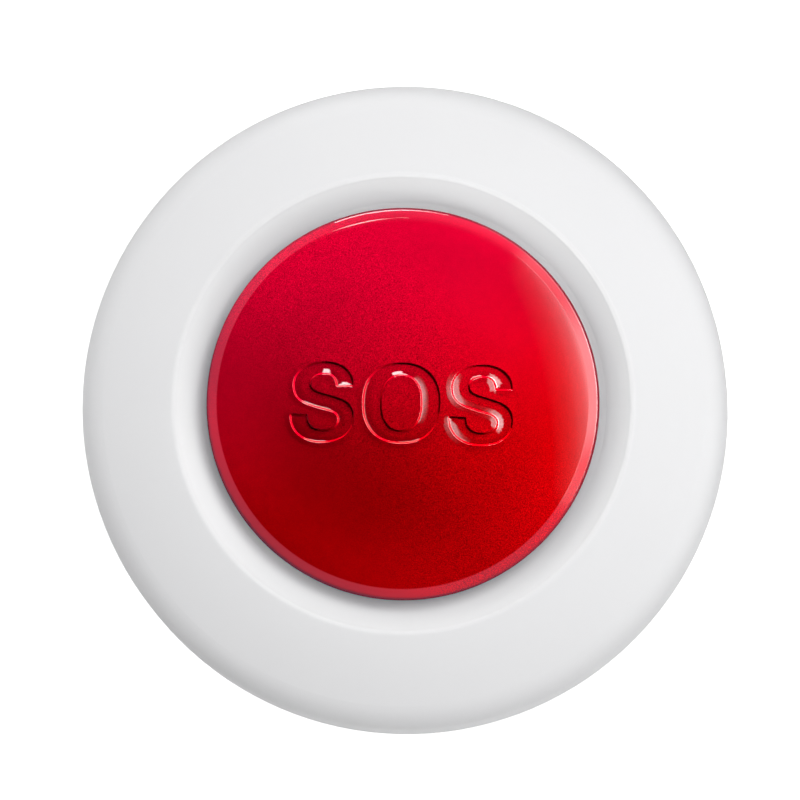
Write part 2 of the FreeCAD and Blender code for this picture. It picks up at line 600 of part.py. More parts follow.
def button_carrier():
    """The moulding inside the cap: plate, hub over the spring, central post and snap hooks."""
    body = new_body("button_carrier")
    revolved(body, "carrier", [
        ("0", "PostBottom"),
        ("PostRadius", "PostBottom"),
        ("PostRadius", "HubCeiling"),
        ("HubRadius - HubWall", "HubCeiling"),
        ("HubRadius - HubWall", "PlateBottom"),
        ("SkirtInnerRadius - CarrierRimGap", "PlateBottom"),
        ("SkirtInnerRadius - CarrierRimGap", "ShoulderTop"),
        ("HubRadius", "ShoulderTop"),
        ("HubRadius", "HubTop"),
        ("0", "HubTop"),
    ])
    window_sketch = new_sketch(body, "XY_Plane", "light_window_outline", "ShoulderTop")
    turned_rectangle(window_sketch, "HubRadius + HubWall", "HookRadius - HookThickness",
                     "LightWindowWidth / 2", LED_ANGLES[0])
    window = pocketed(body, "light_window", window_sketch, "CarrierPlate")
    repeated(body, window, len(LED_ANGLES))
    hook_sketch = new_sketch(body, "YZ_Plane", "hook_profile")
    outline(hook_sketch, [
        ("HookRadius - HookThickness", "BarbTop - HookHeight"),
        ("HookRadius", "BarbTop - HookHeight"),
        ("HookRadius + HookReach", "BarbTop - HookHeight / 3"),
        ("HookRadius + HookReach", "BarbTop"),
        ("HookRadius", "BarbTop"),
        ("HookRadius", "PlateBottom"),
        ("HookRadius - HookThickness", "PlateBottom"),
    ])
    hook = padded(body, "hook", hook_sketch, "HookWidth", both_ways=True)
    repeated(body, hook, HOOK_COUNT)
    return body


def return_spring():
    """An open coil of round wire between the well floor and the carrier's hub."""
    radius = value("SpringRadius")
    wire = value("SpringWire")
    low = value("FloorTop + SpringWire")
    climb = value("HubCeiling - SpringWire") - low
    steps = round(value("SpringTurns") * 2)
    edges = []
    for step in range(steps):
        points = []
        for part in (step, step + 0.5, step + 1):
            angle = math.pi * part
            level = low + climb * part / steps
            points.append(Vector(radius * math.cos(angle), radius * math.sin(angle), level))
        edges.append(Part.Arc(*points).toShape())
    start = edges[0].valueAt(edges[0].FirstParameter)
    along = edges[0].tangentAt(edges[0].FirstParameter)
    section = Part.Wire([Part.Circle(start, along, wire).toShape()])
    spring = doc.addObject("Part::Feature", "return_spring")
    spring.Label = "return_spring"
    spring.Shape = Part.Wire(edges).makePipeShell([section], True, False)
    return spring


def circuit_board():
    """The round board, with screw holes and windows that the snap hooks drop through."""
    body = new_body("circuit_board")
    disc(body, "board", "BoardRadius", "BoardThickness", "BoardBottom")
    hole_sketch = new_sketch(body, "XY_Plane", "screw_hole_outline", "BoardTop")
    circle_at(hole_sketch, BOSS_X, BOSS_Y, "BoardScrewRadius + BoardHolePlay")
    hole = pocketed(body, "screw_hole", hole_sketch, "BoardThickness")
    repeated(body, hole, len(BOSS_ANGLES))
    window_sketch = new_sketch(body, "XY_Plane", "hook_window_outline", "BoardTop")
    turned_rectangle(window_sketch, "HookRadius - HookThickness - HookWindowPlay",
                     "HookRadius + HookReach + HookWindowPlay", "HookWidth / 2 + HookWindowPlay", HOOK_ANGLE)
    window = pocketed(body, "hook_window", window_sketch, "BoardThickness")
    repeated(body, window, HOOK_COUNT)
    return body


def board_screw(number, angle):
    """A pan head screw, driven up through the board into a boss of the housing."""
    body = new_body(f"board_screw_{number}", str(angle), "LaneCircle", "BoardBottom")
    revolved(body, "screw", [
        ("0", "-BoardScrewHeadHeight"),
        ("BoardScrewHeadRadius - ScrewHeadBevel", "-BoardScrewHeadHeight"),
        ("BoardScrewHeadRadius", "-BoardScrewHeadHeight + ScrewHeadBevel"),
        ("BoardScrewHeadRadius", "0"),
        ("BoardScrewRadius", "0"),
        ("BoardScrewRadius", "BoardScrewLength"),
        ("0", "BoardScrewLength + BoardThickness / 2"),
    ])
    return body


def push_switch():
    """The push switch under the post: plastic body, steel cover and plunger."""
    housing = new_body("switch_body", level="BoardTop")
    half = "SwitchWidth / 2"
    block(housing, "switch_block", f"-{half}", half, half, "SwitchBodyHeight")
    bore_sketch = new_sketch(housing, "XY_Plane", "plunger_bore_outline", "SwitchBodyHeight")
    circle_at(bore_sketch, "0", "0", "SwitchPlungerRadius + SwitchPlungerPlay")
    pocketed(housing, "plunger_bore", bore_sketch, "SwitchPlungerDepth + PressTravel")
    cover = new_body("switch_cover", level="BoardTop")
    cover_edge = f"{half} + SwitchPlateThickness"
    strap = block(cover, "cover_strap", half, cover_edge, "SwitchWidth / 5", "SwitchBodyHeight")
    repeated(cover, strap, STRAP_COUNT)
    block(cover, "cover_plate", f"-({cover_edge})", cover_edge, half, "SwitchPlateThickness",
          "SwitchBodyHeight")
    hole_sketch = new_sketch(cover, "XY_Plane", "cover_hole_outline",
                             "SwitchBodyHeight + SwitchPlateThickness")
    circle_at(hole_sketch, "0", "0", "SwitchPlungerRadius + SwitchPlungerPlay")
    pocketed(cover, "cover_hole", hole_sketch, "SwitchPlateThickness")
    plunger_bottom = "SwitchTop - SwitchPlateThickness - SwitchPlungerDepth"
    plunger = new_body("switch_plunger", level=plunger_bottom)
    disc(plunger, "plunger", "SwitchPlungerRadius", f"PostBottom - ({plunger_bottom})")


def indicator_led(number, angle):
    """A surface mounted diode that lights the cap through a hole in the well floor."""
    body = new_body(f"indicator_led_{number}", str(angle), "LedCircle", "BoardTop")
    block(body, "led_base", "-LedWidth / 2", "LedWidth / 2", "LedDepth / 2", "LedHeight")
    disc(body, "led_lens", "LedLensRadius", "LedLensRadius / 2", "LedHeight")


def battery_parts():
    """Coin cell, its holder under the board, and the two sheet metal contacts."""
    cell = new_body("coin_cell", level="CellBottom")
    revolved(cell, "cell", [
        ("0", "0"),
        ("CellRadius", "0"),
        ("CellRadius", "CellThickness - CellStep"),
        ("CellRadius - CellRimWidth", "CellThickness - CellStep"),
        ("CellRadius - CellRimWidth", "CellThickness"),
        ("0", "CellThickness"),
    ])
    holder = new_body("cell_holder")
    revolved(holder, "holder_ring", [
        ("HolderRadius", "CellBottom - HolderLipThickness"),
        ("HolderRadius + HolderWall", "CellBottom - HolderLipThickness"),
        ("HolderRadius + HolderWall", "BoardBottom"),
        ("HolderRadius", "BoardBottom"),
    ])
    lip_sketch = new_sketch(holder, "XY_Plane", "lip_outline", "CellBottom - HolderLipThickness")
    sector(lip_sketch, "HolderRadius - HolderLip", "HolderRadius + HolderWall / 2", *LIP_ANGLES)
    lip = padded(holder, "lip", lip_sketch, "HolderLipThickness - LipPlay")
    repeated(holder, lip, LIP_COUNT)
    mouth_sketch = new_sketch(holder, "XY_Plane", "mouth_outline", "BoardBottom")
    sector(mouth_sketch, "HolderRadius - HolderLip", "HolderRadius + HolderWall * 2",
           "-HolderMouthAngle / 2", "HolderMouthAngle / 2")
    pocketed(holder, "mouth", mouth_sketch, "BoardBottom")
    side = new_body("battery_contact_positive")
    side_sketch = new_sketch(side, "XZ_Plane", "side_contact_profile")
    touch = "CellRadius + ContactTouch"
    outline(side_sketch, [
        (touch, "CellBottom + CellThickness / 4"),
        (touch + " + LeafThickness", "CellBottom + CellThickness / 4"),
        (touch + " + LeafThickness", "BoardBottom - LeafThickness"),
        (touch + " + ContactWidth / 2", "BoardBottom - LeafThickness"),
        (touch + " + ContactWidth / 2", "BoardBottom"),
        (touch, "BoardBottom"),
    ])
    padded(side, "side_contact", side_sketch, "ContactWidth", both_ways=True)
    leaf = new_body("battery_contact_negative")
    leaf_sketch = new_sketch(leaf, "XZ_Plane", "leaf_profile")
    outline(leaf_sketch, [
        ("-ContactWidth", "BoardBottom - LeafThickness"),
        ("-ContactWidth / 2", "BoardBottom - LeafThickness"),
        ("0", "CellTop + ContactTouch"),
        ("ContactWidth / 2", "BoardBottom - LeafThickness"),
        ("ContactWidth", "BoardBottom - LeafThickness"),
        ("ContactWidth", "BoardBottom"),
        ("ContactWidth / 2", "BoardBottom"),
        ("0", "CellTop + ContactTouch + LeafThickness"),
        ("-ContactWidth / 2", "BoardBottom"),
        ("-ContactWidth", "BoardBottom"),
    ])
    padded(leaf, "leaf", leaf_sketch, "ContactWidth", both_ways=True)


def board_parts():
    """Radio module, processor, crystal, storage capacitor, antenna and tamper switch."""
    radio = new_body("radio_board", str(RADIO_ANGLE), "RadioCircle", "BoardBottom - RadioBoardThickness")
    block(radio, "radio_plate", "-RadioWidth / 2", "RadioWidth / 2", "RadioLength / 2", "RadioBoardThickness")
    shield = new_body("radio_shield", str(RADIO_ANGLE), "RadioCircle",
                      "BoardBottom - RadioBoardThickness - RadioShieldHeight")
    block(shield, "shield_can", "-RadioWidth / 2 + RadioMargin", "RadioWidth / 2 - RadioMargin",
          "RadioLength / 2 - RadioMargin", "RadioShieldHeight")
    chip = new_body("microcontroller", str(CHIP_ANGLE), "ChipCircle", "BoardTop")
    block(chip, "chip", "-ChipWidth / 2", "ChipWidth / 2", "ChipWidth / 2", "ChipHeight")
    crystal = new_body("crystal", str(CRYSTAL_ANGLE), "ChipCircle", "BoardTop")
    block(crystal, "crystal_can", "-CrystalLength / 2", "CrystalLength / 2", "CrystalWidth / 2",
          "CrystalHeight")
    capacitor = new_body("storage_capacitor", str(CAPACITOR_ANGLE), "LaneCircle", "BoardTop")
    revolved(capacitor, "capacitor_can", [
        ("0", "0"),
        ("CapacitorRadius", "0"),
        ("CapacitorRadius", "CapacitorGroove - CapacitorGrooveHalf"),
        ("CapacitorRadius - CapacitorGrooveDepth", "CapacitorGroove"),
        ("CapacitorRadius", "CapacitorGroove + CapacitorGrooveHalf"),
        ("CapacitorRadius", "CapacitorHeight"),
        ("0", "CapacitorHeight"),
    ])
    antenna = new_body("antenna_wire", str(ANTENNA_ANGLE), level="BoardTop")
    section_sketch = new_sketch(antenna, "XZ_Plane", "antenna_section")
    circle_at(section_sketch, "LaneCircle", "AntennaRise", "AntennaWire")
    arc = antenna.newObject("PartDesign::Revolution", "antenna_arc")
    arc.Profile = section_sketch
    arc.ReferenceAxis = (section_sketch, ["V_Axis"])
    arc.setExpression("Angle", linked("AntennaSpan"))
    disc(antenna, "antenna_leg", "AntennaWire", "AntennaRise", "0", "LaneCircle")
    tamper = new_body("tamper_switch", str(TAMPER_ANGLE), "LaneCircle", "BoardBottom")
    block(tamper, "tamper_body", "-TamperWidth / 2", "TamperWidth / 2", "TamperWidth / 2",
          "TamperHeight", "-TamperHeight")
    disc(tamper, "tamper_button", "TamperButtonRadius", "TamperButtonHeight",
         "-TamperHeight - TamperButtonHeight")


def check_model():
    """Stop if any object of the document failed or any sub-part has no sound solid."""
    for item in doc.Objects:
        if any(word in item.State for word in ("Invalid", "Error")):
            raise RuntimeError(f"{item.Name} failed: {item.State}")
    for item in sub_parts():
        if item.Shape.isNull() or not item.Shape.isValid() or not item.Shape.Solids:
            raise RuntimeError(f"{item.Label} has no sound solid")


def sub_parts():
    """The objects that are written out, one for each sub-part."""
    return [item for item in doc.Objects if item.TypeId in ("PartDesign::Body", "Part::Feature")]


fill_sheet()
front_housing()
mounting_base()
button_cap()
button_carrier()
return_spring()
circuit_board()
for screw_number, screw_angle in enumerate(BOSS_ANGLES, start=1):
    board_screw(screw_number, screw_angle)
push_switch()
for led_number, led_angle in enumerate(LED_ANGLES, start=1):
    indicator_led(led_number, led_angle)
battery_parts()
board_parts()
doc.recompute()
check_model()

os.makedirs("parts", exist_ok=True)
for part in sub_parts():
    part.Shape.exportStep(f"parts/{part.Label}.step")
    print(part.Label, round(part.Shape.Volume, 2), len(part.Shape.Solids))
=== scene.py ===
import math

import bpy
import numpy as np
from mathutils import Matrix, Vector, geometry


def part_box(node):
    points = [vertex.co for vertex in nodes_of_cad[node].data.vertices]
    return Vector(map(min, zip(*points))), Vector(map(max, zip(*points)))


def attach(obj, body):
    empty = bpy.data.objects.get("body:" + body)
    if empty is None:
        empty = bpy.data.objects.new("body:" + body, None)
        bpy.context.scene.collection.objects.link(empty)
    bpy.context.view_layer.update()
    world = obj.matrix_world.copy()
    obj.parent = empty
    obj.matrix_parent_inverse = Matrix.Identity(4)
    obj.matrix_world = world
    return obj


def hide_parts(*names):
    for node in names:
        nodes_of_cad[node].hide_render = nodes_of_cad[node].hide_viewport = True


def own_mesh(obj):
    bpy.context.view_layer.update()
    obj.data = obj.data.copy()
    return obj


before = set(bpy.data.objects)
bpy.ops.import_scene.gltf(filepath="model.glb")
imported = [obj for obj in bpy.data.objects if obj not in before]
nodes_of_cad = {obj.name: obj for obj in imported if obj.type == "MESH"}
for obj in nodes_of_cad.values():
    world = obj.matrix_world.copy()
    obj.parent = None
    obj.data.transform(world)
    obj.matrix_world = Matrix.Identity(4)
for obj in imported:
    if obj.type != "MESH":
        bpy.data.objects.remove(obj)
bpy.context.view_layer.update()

# The looks of a wireless panic button: a glossy red dome with sunk letters in a white dished bezel.
# Lengths are written in millimetres and turned into metres by MM, but for the lights and the camera.

MM = 0.001


# Shader maths


class Value:
    """A node socket that takes part in Python expressions."""

    def __init__(self, shader, socket):
        self.shader = shader
        self.socket = socket

    def _math(self, operation, *others):
        return self.shader.node("ShaderNodeMath", {"operation": operation}, self, *others)

    def __add__(self, other):
        return self._math("ADD", other)

    def __radd__(self, other):
        return self._math("ADD", other)

    def __sub__(self, other):
        return self._math("SUBTRACT", other)

    def __rsub__(self, other):
        return self.shader.node("ShaderNodeMath", {"operation": "SUBTRACT"}, other, self)

    def __mul__(self, other):
        return self._math("MULTIPLY", other)

    def __rmul__(self, other):
        return self._math("MULTIPLY", other)

    def above(self, low, high):
        """0 below low, 1 above high, smooth between them."""
        settings = {"interpolation_type": "SMOOTHSTEP"}
        ends = {"From Min": low, "From Max": high}
        return self.shader.node("ShaderNodeMapRange", settings, Value=self, **ends)


class Shader:
    """The node tree of one material, world or light."""

    def __init__(self, owner):
        owner.use_nodes = True
        self.tree = owner.node_tree
        self.tree.nodes.clear()

    def node(self, kind, settings=None, *inputs, output=0, **named):
        """Add a node: its settings first, then its sockets, in order or by name.

        Returns one output, or the node itself where it has none.
        """
        made = self.tree.nodes.new(kind)
        for key, setting in (settings or {}).items():
            setattr(made, key, setting)
        for place, given in list(enumerate(inputs)) + list(named.items()):
            self.put(made.inputs[place], given)
        if not made.outputs:
            return made
        return Value(self, made.outputs[output])

    def put(self, socket, given):
        """Set a socket to a number or a colour, or link it."""
        if isinstance(given, Value):
            self.tree.links.new(given.socket, socket)
        else:
            socket.default_value = given

    def place(self):
        """The point in the part's own frame, in metres."""
        return self.node("ShaderNodeTexCoord", output="Object")

    def part_of(self, vector, axis):
        """One component of a vector."""
        return self.node("ShaderNodeSeparateXYZ", None, vector, output="XYZ".index(axis))

    def vector_math(self, operation, *inputs, output=0, **named):
        """A Vector Math node."""
        return self.node("ShaderNodeVectorMath", {"operation": operation}, *inputs, output=output, **named)

    def noise(self, size_mm, detail=2.0, roughness=0.5):
        """Soft noise whose lumps are about this many millimetres wide."""
        return self.node("ShaderNodeTexNoise", None, Vector=self.place(),
                         Scale=1.0 / (size_mm * MM), Detail=detail, Roughness=roughness)

    def between(self, mask, low, high):
        """A colour that goes from low to high with a mask."""
        mixed = self.node("ShaderNodeMix", {"data_type": "RGBA"}, mask, output=2)
        first_colour, second_colour = mixed.socket.node.inputs[6:8]
        self.put(first_colour, low)
        self.put(second_colour, high)
        return mixed

    def bump(self, height, depth_mm, normal=None):
        """A Bump node for a height between 0 and 1 that stands for this depth."""
        sockets = {"Height": height, "Distance": depth_mm * MM, "Strength": 1.0}
        if normal is not None:
            sockets["Normal"] = normal
        return self.node("ShaderNodeBump", None, **sockets)

    def surface(self, **sockets):
        """The Principled shader and the material's output."""
        shader = self.node("ShaderNodeBsdfPrincipled", None, **sockets)
        self.node("ShaderNodeOutputMaterial", None, shader)


def rgb(red, green, blue):
    """A colour in linear light."""
    return (red, green, blue, 1.0)


def material(name):
    """A new material and its empty node tree."""
    made = bpy.data.materials.new(name)
    return made, Shader(made)


# Finishes

# Radii between which the housing's crest rolls over from the dish to the crown
CREST_INSIDE = 27.2
CREST_OUTSIDE = 28.4


def satin_white(name, tone, dish_painted_light_tone):
    """Moulded white plastic with a very fine spark texture, in one tone outside the crest and one inside,
    where the housing's dish is painted lighter to stand in for bounced light.
    """
    made, shader = material(name)
    cloud = shader.noise(9.0, detail=3.0)
    spark = shader.noise(0.16, roughness=0.6)
    flat = shader.vector_math("MULTIPLY", shader.place(), (1.0, 1.0, 0.0))
    radius = shader.vector_math("LENGTH", flat, output="Value")
    outside = radius.above(CREST_INSIDE * MM, CREST_OUTSIDE * MM)
    # Inside the crest the tone is painted light: on the housing it is lighter, standing in for light bounced
    # into the dish
    dish_painted_light_cloud = rgb(dish_painted_light_tone * 0.99, dish_painted_light_tone * 0.99, dish_painted_light_tone)
    dish = shader.between(cloud, dish_painted_light_cloud, rgb(dish_painted_light_tone, dish_painted_light_tone, dish_painted_light_tone))
    shell_cloud = rgb(tone * 0.985, tone * 0.985, tone)
    shell = shader.between(cloud, shell_cloud, rgb(tone, tone, tone * 1.01))
    shader.surface(**{
        "Base Color": shader.between(outside, dish, shell),
        "Roughness": 0.52 + 0.08 * cloud,
        "Normal": shader.bump(spark, 0.004),
        "Specular IOR Level": 0.12,
    })
    return made


# The dome's curvature, the crease just inside its rim, and the top and outer radius of the CAD's cap
DOME_RADIUS = 50.7
CREASE_RADIUS = 22.5
CAP_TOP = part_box("button_cap")[1].z / MM
CAP_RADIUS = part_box("button_cap")[1].x / MM

# How far the red layer leans against the gloss beside the letters
LAYER_LEAN = 0.5

# Brightness of the red layer on the dome, and the lighter one painted on the letters' steep walls as a
# highlight
DOME_TONE = 0.40
WALL_PAINTED_HIGHLIGHT = 0.95

# One less the cosine of a wall's tilt, where it starts to count as steep and where it fully does
STEEP_WALL = (0.18, 0.34)

# The way that the shaded walls lean, and how far they lean where their painted shade starts and where it is
# full
SHADED_WAY = (-0.72, -0.69, 0.0)
SHADED_WALL = (0.49, 0.62)

# Ways across the cap, x to the right and y up
BRIGHT_SIDE = (0.8, 0.6)
DARK_SIDE = (-0.8, -0.6)
KEY_SIDE = (0.6, 0.8)
FAR_SIDE = (-0.6, -0.8)
UPPER_RIGHT = (0.5, 0.866)
LOWER_LEFT = (-0.5, -0.866)
DIAGONAL = (0.7, 0.7)
TOP = (0.05, 1.0)
UPPER_LEFT = (-0.35, 0.94)
PANEL_SIDE = (0.9, 0.4)
ABOVE_PANEL = (-0.12, 0.99)
BELOW_PANEL = (0.12, -0.99)


class CapMasks:
    """Soft masks over the cap, in millimetres from its middle."""

    def __init__(self, shader):
        self.shader = shader
        self.place = shader.place()
        self.flat = shader.vector_math("MULTIPLY", self.place, (1.0, 1.0, 0.0))
        self.radius = shader.vector_math("LENGTH", self.flat, output="Value")

    def beyond(self, near, far):
        """0 to 1 outwards, between two radii."""
        return self.radius.above(near * MM, far * MM)

    def towards(self, way, near, far):
        """0 to 1 across the cap one way, between two distances from its middle."""
        across = self.shader.vector_math("DOT_PRODUCT", self.place, (*way, 0.0), output="Value")
        return across.above(near * MM, far * MM)

    def round_spot(self, x, y, near, far):
        """1 round a spot, fading to 0 between two distances from it."""
        spot = (x * MM, y * MM, 0.0)
        away = self.shader.vector_math("DISTANCE", self.flat, spot, output="Value")
        return 1.0 - away.above(near * MM, far * MM)


def letter_walls(shader, cap, rim):
    """Masks of the letters' steep walls and of the shaded ones, and the normal of the red layer.

    Beside the sunk letters the layer leans against the slope of the gloss above it. On the steep
    walls it follows the wall.
    """
    centre = (0.0, 0.0, (CAP_TOP - DOME_RADIUS) * MM)
    outward = shader.vector_math("NORMALIZE", shader.vector_math("SUBTRACT", cap.place, centre))
    turned = {"vector_type": "NORMAL", "convert_from": "OBJECT", "convert_to": "WORLD"}
    dome = shader.node("ShaderNodeVectorTransform", turned, outward)
    face = shader.node("ShaderNodeNewGeometry", output="Normal")
    tilt = 1.0 - shader.vector_math("DOT_PRODUCT", dome, face, output="Value")
    steep = tilt.above(*STEEP_WALL) * (1.0 - rim)
    apart = shader.vector_math("SUBTRACT", face, dome)
    leaned = shader.vector_math("SCALE", apart, Scale=(1.0 + LAYER_LEAN) * steep - LAYER_LEAN)
    layer = shader.vector_math("NORMALIZE", shader.vector_math("ADD", dome, leaned))
    leaning = shader.vector_math("DOT_PRODUCT", apart, SHADED_WAY, output="Value")
    shaded = leaning.above(*SHADED_WALL) * (1.0 - rim)
    return steep, shaded, layer


def candy_red():
    """Clear gloss over a grained red layer, with painted shade, painted light and a painted tint on it in
    places, a painted glow on the rim, and a painted highlight and painted shade on the letters' walls.
    """
    made, shader = material("cap_red_gloss")
    cap = CapMasks(shader)

    # The rim starts at the crease, and the brim is its outermost edge
    rim = cap.beyond(CREASE_RADIUS - 0.05, CREASE_RADIUS + 0.15)
    brim = cap.beyond(CAP_RADIUS - 0.40, CAP_RADIUS - 0.18)
    steep, shaded, layer = letter_walls(shader, cap, rim)

    # The grain shows most along the band between the bright side and the dark one
    grain = shader.noise(0.15, roughness=0.7)
    mottle = shader.noise(1.3, detail=3.0, roughness=0.6)
    cloud = shader.noise(14.0)
    calm = cap.towards(BRIGHT_SIDE, 5.0, 17.0) + cap.towards(DARK_SIDE, 5.0, 17.0)
    specks = (grain - 0.5) * (3.0 - 2.5 * calm) + (mottle - 0.5) * 0.25 + (cloud - 0.5) * 0.1

    # Painted shade and painted light on the red layer, place by place
    # Painted shade: a darker spot low on the left of the dome
    painted_shade_spot = 1.0 - 0.2 * cap.round_spot(-5.0, -8.0, 3.0, 15.0)
    # Painted light: the red is lighter towards the edge, except on the key's side
    shoulder = 1.0 + 0.3 * cap.beyond(14.0, 22.5) * (1.0 - cap.towards(KEY_SIDE, 2.0, 14.0))
    # Painted light: the red is lighter on the side away from the key
    far_side_painted_light = 1.0 + 0.55 * cap.towards(FAR_SIDE, 8.0, 22.0)
    # Painted shade: the red is darker towards the upper right, where the key falls
    near_side_painted_shade = 1.0 - 0.2 * cap.towards(UPPER_RIGHT, 12.0, 20.0)
    # Painted light: the red is lighter towards the top
    top = 1.0 + 0.12 * cap.towards(TOP, 17.0, 22.0)
    upper = cap.towards(UPPER_RIGHT, 5.0, 18.0)
    # Painted light: the rim is lighter, most of all low on the left
    band = 1.0 + rim * (0.2 - 0.1 * upper + 0.4 * cap.towards(LOWER_LEFT, 8.0, 20.0))
    # Painted shade: the brim is darker, most of all towards the upper right
    edge = 1.0 - brim * (0.1 + 0.5 * cap.towards(DIAGONAL, -8.0, 12.0))
    tone = DOME_TONE * (1.0 + specks) * painted_shade_spot * shoulder * far_side_painted_light * near_side_painted_shade * top * band
    # Steep walls take the painted highlight tone, walls that lean away from the key are painted dark as
    # shade, and the brim takes its painted shade
    tone = (tone * (1.0 - steep) + WALL_PAINTED_HIGHLIGHT * steep) * (1.0 - 0.85 * shaded) * edge
    # Painted tint: the red turns bluer towards the upper left, standing in for cool light reflected there
    red = shader.between(cap.towards(UPPER_LEFT, -12.0, 22.0), rgb(1.0, 0.0, 0.003), rgb(1.0, 0.0, 0.042))

    # A faint painted glow lies on the rim, and its gloss is duller above and below the tall panel's
    # reflection
    painted_rim_glow = rim * (1.0 - upper) + cap.beyond(21.8, 23.6) * upper
    beside = cap.towards(ABOVE_PANEL, 4.0, 12.0) + cap.towards(BELOW_PANEL, 4.0, 10.0)
    dull_rim = 0.7 * rim * beside * cap.towards(PANEL_SIDE, 8.0, 14.0)
    shader.surface(**{
        "Base Color": shader.between(tone, rgb(0.0, 0.0, 0.0), red),
        "Metallic": 0.12,
        "Emission Color": shader.between(painted_rim_glow, rgb(0.0, 0.0, 0.0), rgb(0.04, 0.027, 0.043)),
        "Emission Strength": 1.0,
        "Specular IOR Level": 0.0,
        "Roughness": 0.64 + 0.12 * mottle,
        "Normal": shader.bump(grain, 0.006, layer),
        "Coat Weight": (1.0 - brim) * (1.0 - 0.8 * shaded) * (1.0 - dull_rim),
        "Coat Roughness": 0.02,
        "Coat IOR": 1.5,
    })
    return made


def plain_finish(name, low, high, size_mm, roughness, metallic):
    """A finish whose tone wanders between two colours, with a fine bump."""
    made, shader = material(name)
    cloud = shader.noise(size_mm, detail=3.0)
    fine = shader.noise(0.12, roughness=0.6)
    shader.surface(**{
        "Base Color": shader.between(cloud, low, high),
        "Roughness": roughness + 0.1 * fine,
        "Metallic": metallic,
        "Normal": shader.bump(fine, 0.003),
    })
    return made


# Slot, finish, its two tones, how many millimetres wide they wander, roughness, metallic
PLAIN_FINISHES = (
    ("carrier_natural", "carrier_natural_nylon", (0.62, 0.60, 0.54), (0.72, 0.70, 0.64), 6.0, 0.42, 0.0),
    ("spring_steel", "spring_drawn_steel", (0.50, 0.50, 0.52), (0.66, 0.66, 0.68), 3.0, 0.24, 1.0),
    ("board_green", "board_solder_mask", (0.012, 0.12, 0.04), (0.02, 0.17, 0.06), 4.0, 0.3, 0.0),
    ("screw_steel", "screw_zinc", (0.52, 0.53, 0.55), (0.68, 0.69, 0.72), 2.0, 0.3, 1.0),
    ("switch_black", "switch_black_nylon", (0.02, 0.02, 0.022), (0.035, 0.035, 0.04), 2.0, 0.45, 0.0),
    ("switch_steel", "switch_bright_steel", (0.6, 0.6, 0.6), (0.74, 0.74, 0.74), 2.0, 0.22, 1.0),
    ("plunger_black", "plunger_black_acetal", (0.015, 0.015, 0.015), (0.03, 0.03, 0.03), 2.0, 0.35, 0.0),
    ("led_resin", "led_milky_resin", (0.78, 0.76, 0.66), (0.86, 0.85, 0.78), 1.0, 0.2, 0.0),
    ("cell_steel", "cell_brushed_steel", (0.60, 0.60, 0.61), (0.76, 0.76, 0.77), 3.0, 0.26, 1.0),
    ("holder_black", "holder_black_nylon", (0.018, 0.018, 0.02), (0.035, 0.035, 0.038), 3.0, 0.5, 0.0),
    ("contact_metal", "contact_nickel", (0.66, 0.62, 0.52), (0.78, 0.75, 0.66), 2.0, 0.25, 1.0),
    ("board_blue", "radio_solder_mask", (0.01, 0.04, 0.18), (0.015, 0.06, 0.26), 3.0, 0.3, 0.0),
    ("shield_steel", "shield_tinned_steel", (0.58, 0.58, 0.57), (0.72, 0.72, 0.70), 3.0, 0.33, 1.0),
    ("chip_black", "chip_epoxy", (0.022, 0.022, 0.024), (0.04, 0.04, 0.042), 1.0, 0.55, 0.0),
    ("capacitor_metal", "capacitor_can", (0.62, 0.63, 0.65), (0.75, 0.76, 0.78), 2.0, 0.28, 1.0),
    ("antenna_copper", "antenna_brass", (0.62, 0.40, 0.14), (0.78, 0.54, 0.22), 2.0, 0.3, 1.0),
)

finishes = {
    # The housing's dish tone, 0.95 against 0.80, is painted light that stands in for bounced light
    "housing_white": satin_white("housing_white_satin", 0.80, 0.95),
    "base_white": satin_white("base_white_satin", 0.74, 0.74),
    "cap_red": candy_red(),
}
for slot_name, finish_name, dark, light, wander, rough, metal in PLAIN_FINISHES:
    finishes[slot_name] = plain_finish(finish_name, rgb(*dark), rgb(*light), wander, rough, metal)
for cad_node in nodes_of_cad.values():
    for index, old in enumerate(cad_node.data.materials):
        cad_node.data.materials[index] = finishes[old.name.split(".")[0]]


# The red cap


def smooth_mesh(name, points, faces, normals=None):
    """A mesh object in millimetres with smooth faces, and its own normals where they are given."""
    mesh = bpy.data.meshes.new(name)
    mesh.from_pydata([tuple(c * MM for c in p) for p in points], [], faces)
    mesh.validate()
    for polygon in mesh.polygons:
        polygon.use_smooth = True
    if normals is not None:
        mesh.normals_split_custom_set_from_vertices(normals)
    made = bpy.data.objects.new(name, mesh)
    bpy.context.scene.collection.objects.link(made)
    return made


# The middle of each S from the middle of the O, and of the word from the top of the dome
LETTER_PITCH = 9.56
LETTER_DROP = -0.35

# Half the width and half the height of the O, and of its counter
O_OUTSIDE = (4.68, 4.86)
O_COUNTER = (2.36, 3.28)

# The round field that is meshed about the letters, the gap on each side of its edge, and the rings' spokes
FIELD_RADIUS = 17.0
FIELD_GAP = 0.2
SPOKES = 320

# Over the crease the dome breaks into a straight band: the crease's width, the band's end and its tilt
CREASE_WIDTH = 0.02
FACET_RADIUS = 23.45
FACET_TILT = 31.0

# Engraving, measured across a stroke's edge: distance inside the edge and slope there, in degrees
GROOVE = ((-1.3, 0.0), (-0.66, 8.0), (-0.62, 21.5), (-0.06, 21.5), (0.02, 60.0), (0.18, 60.0),
          (0.21, 31.0), (0.31, 29.5), (0.35, 25.2), (0.55, 24.8), (0.67, 23.8), (0.92, 20.2), (1.1, 17.0))
GROOVE_SAMPLES = 400

# How much of the engraving's slope the counter of the O has
COUNTER_SHARE = 0.45

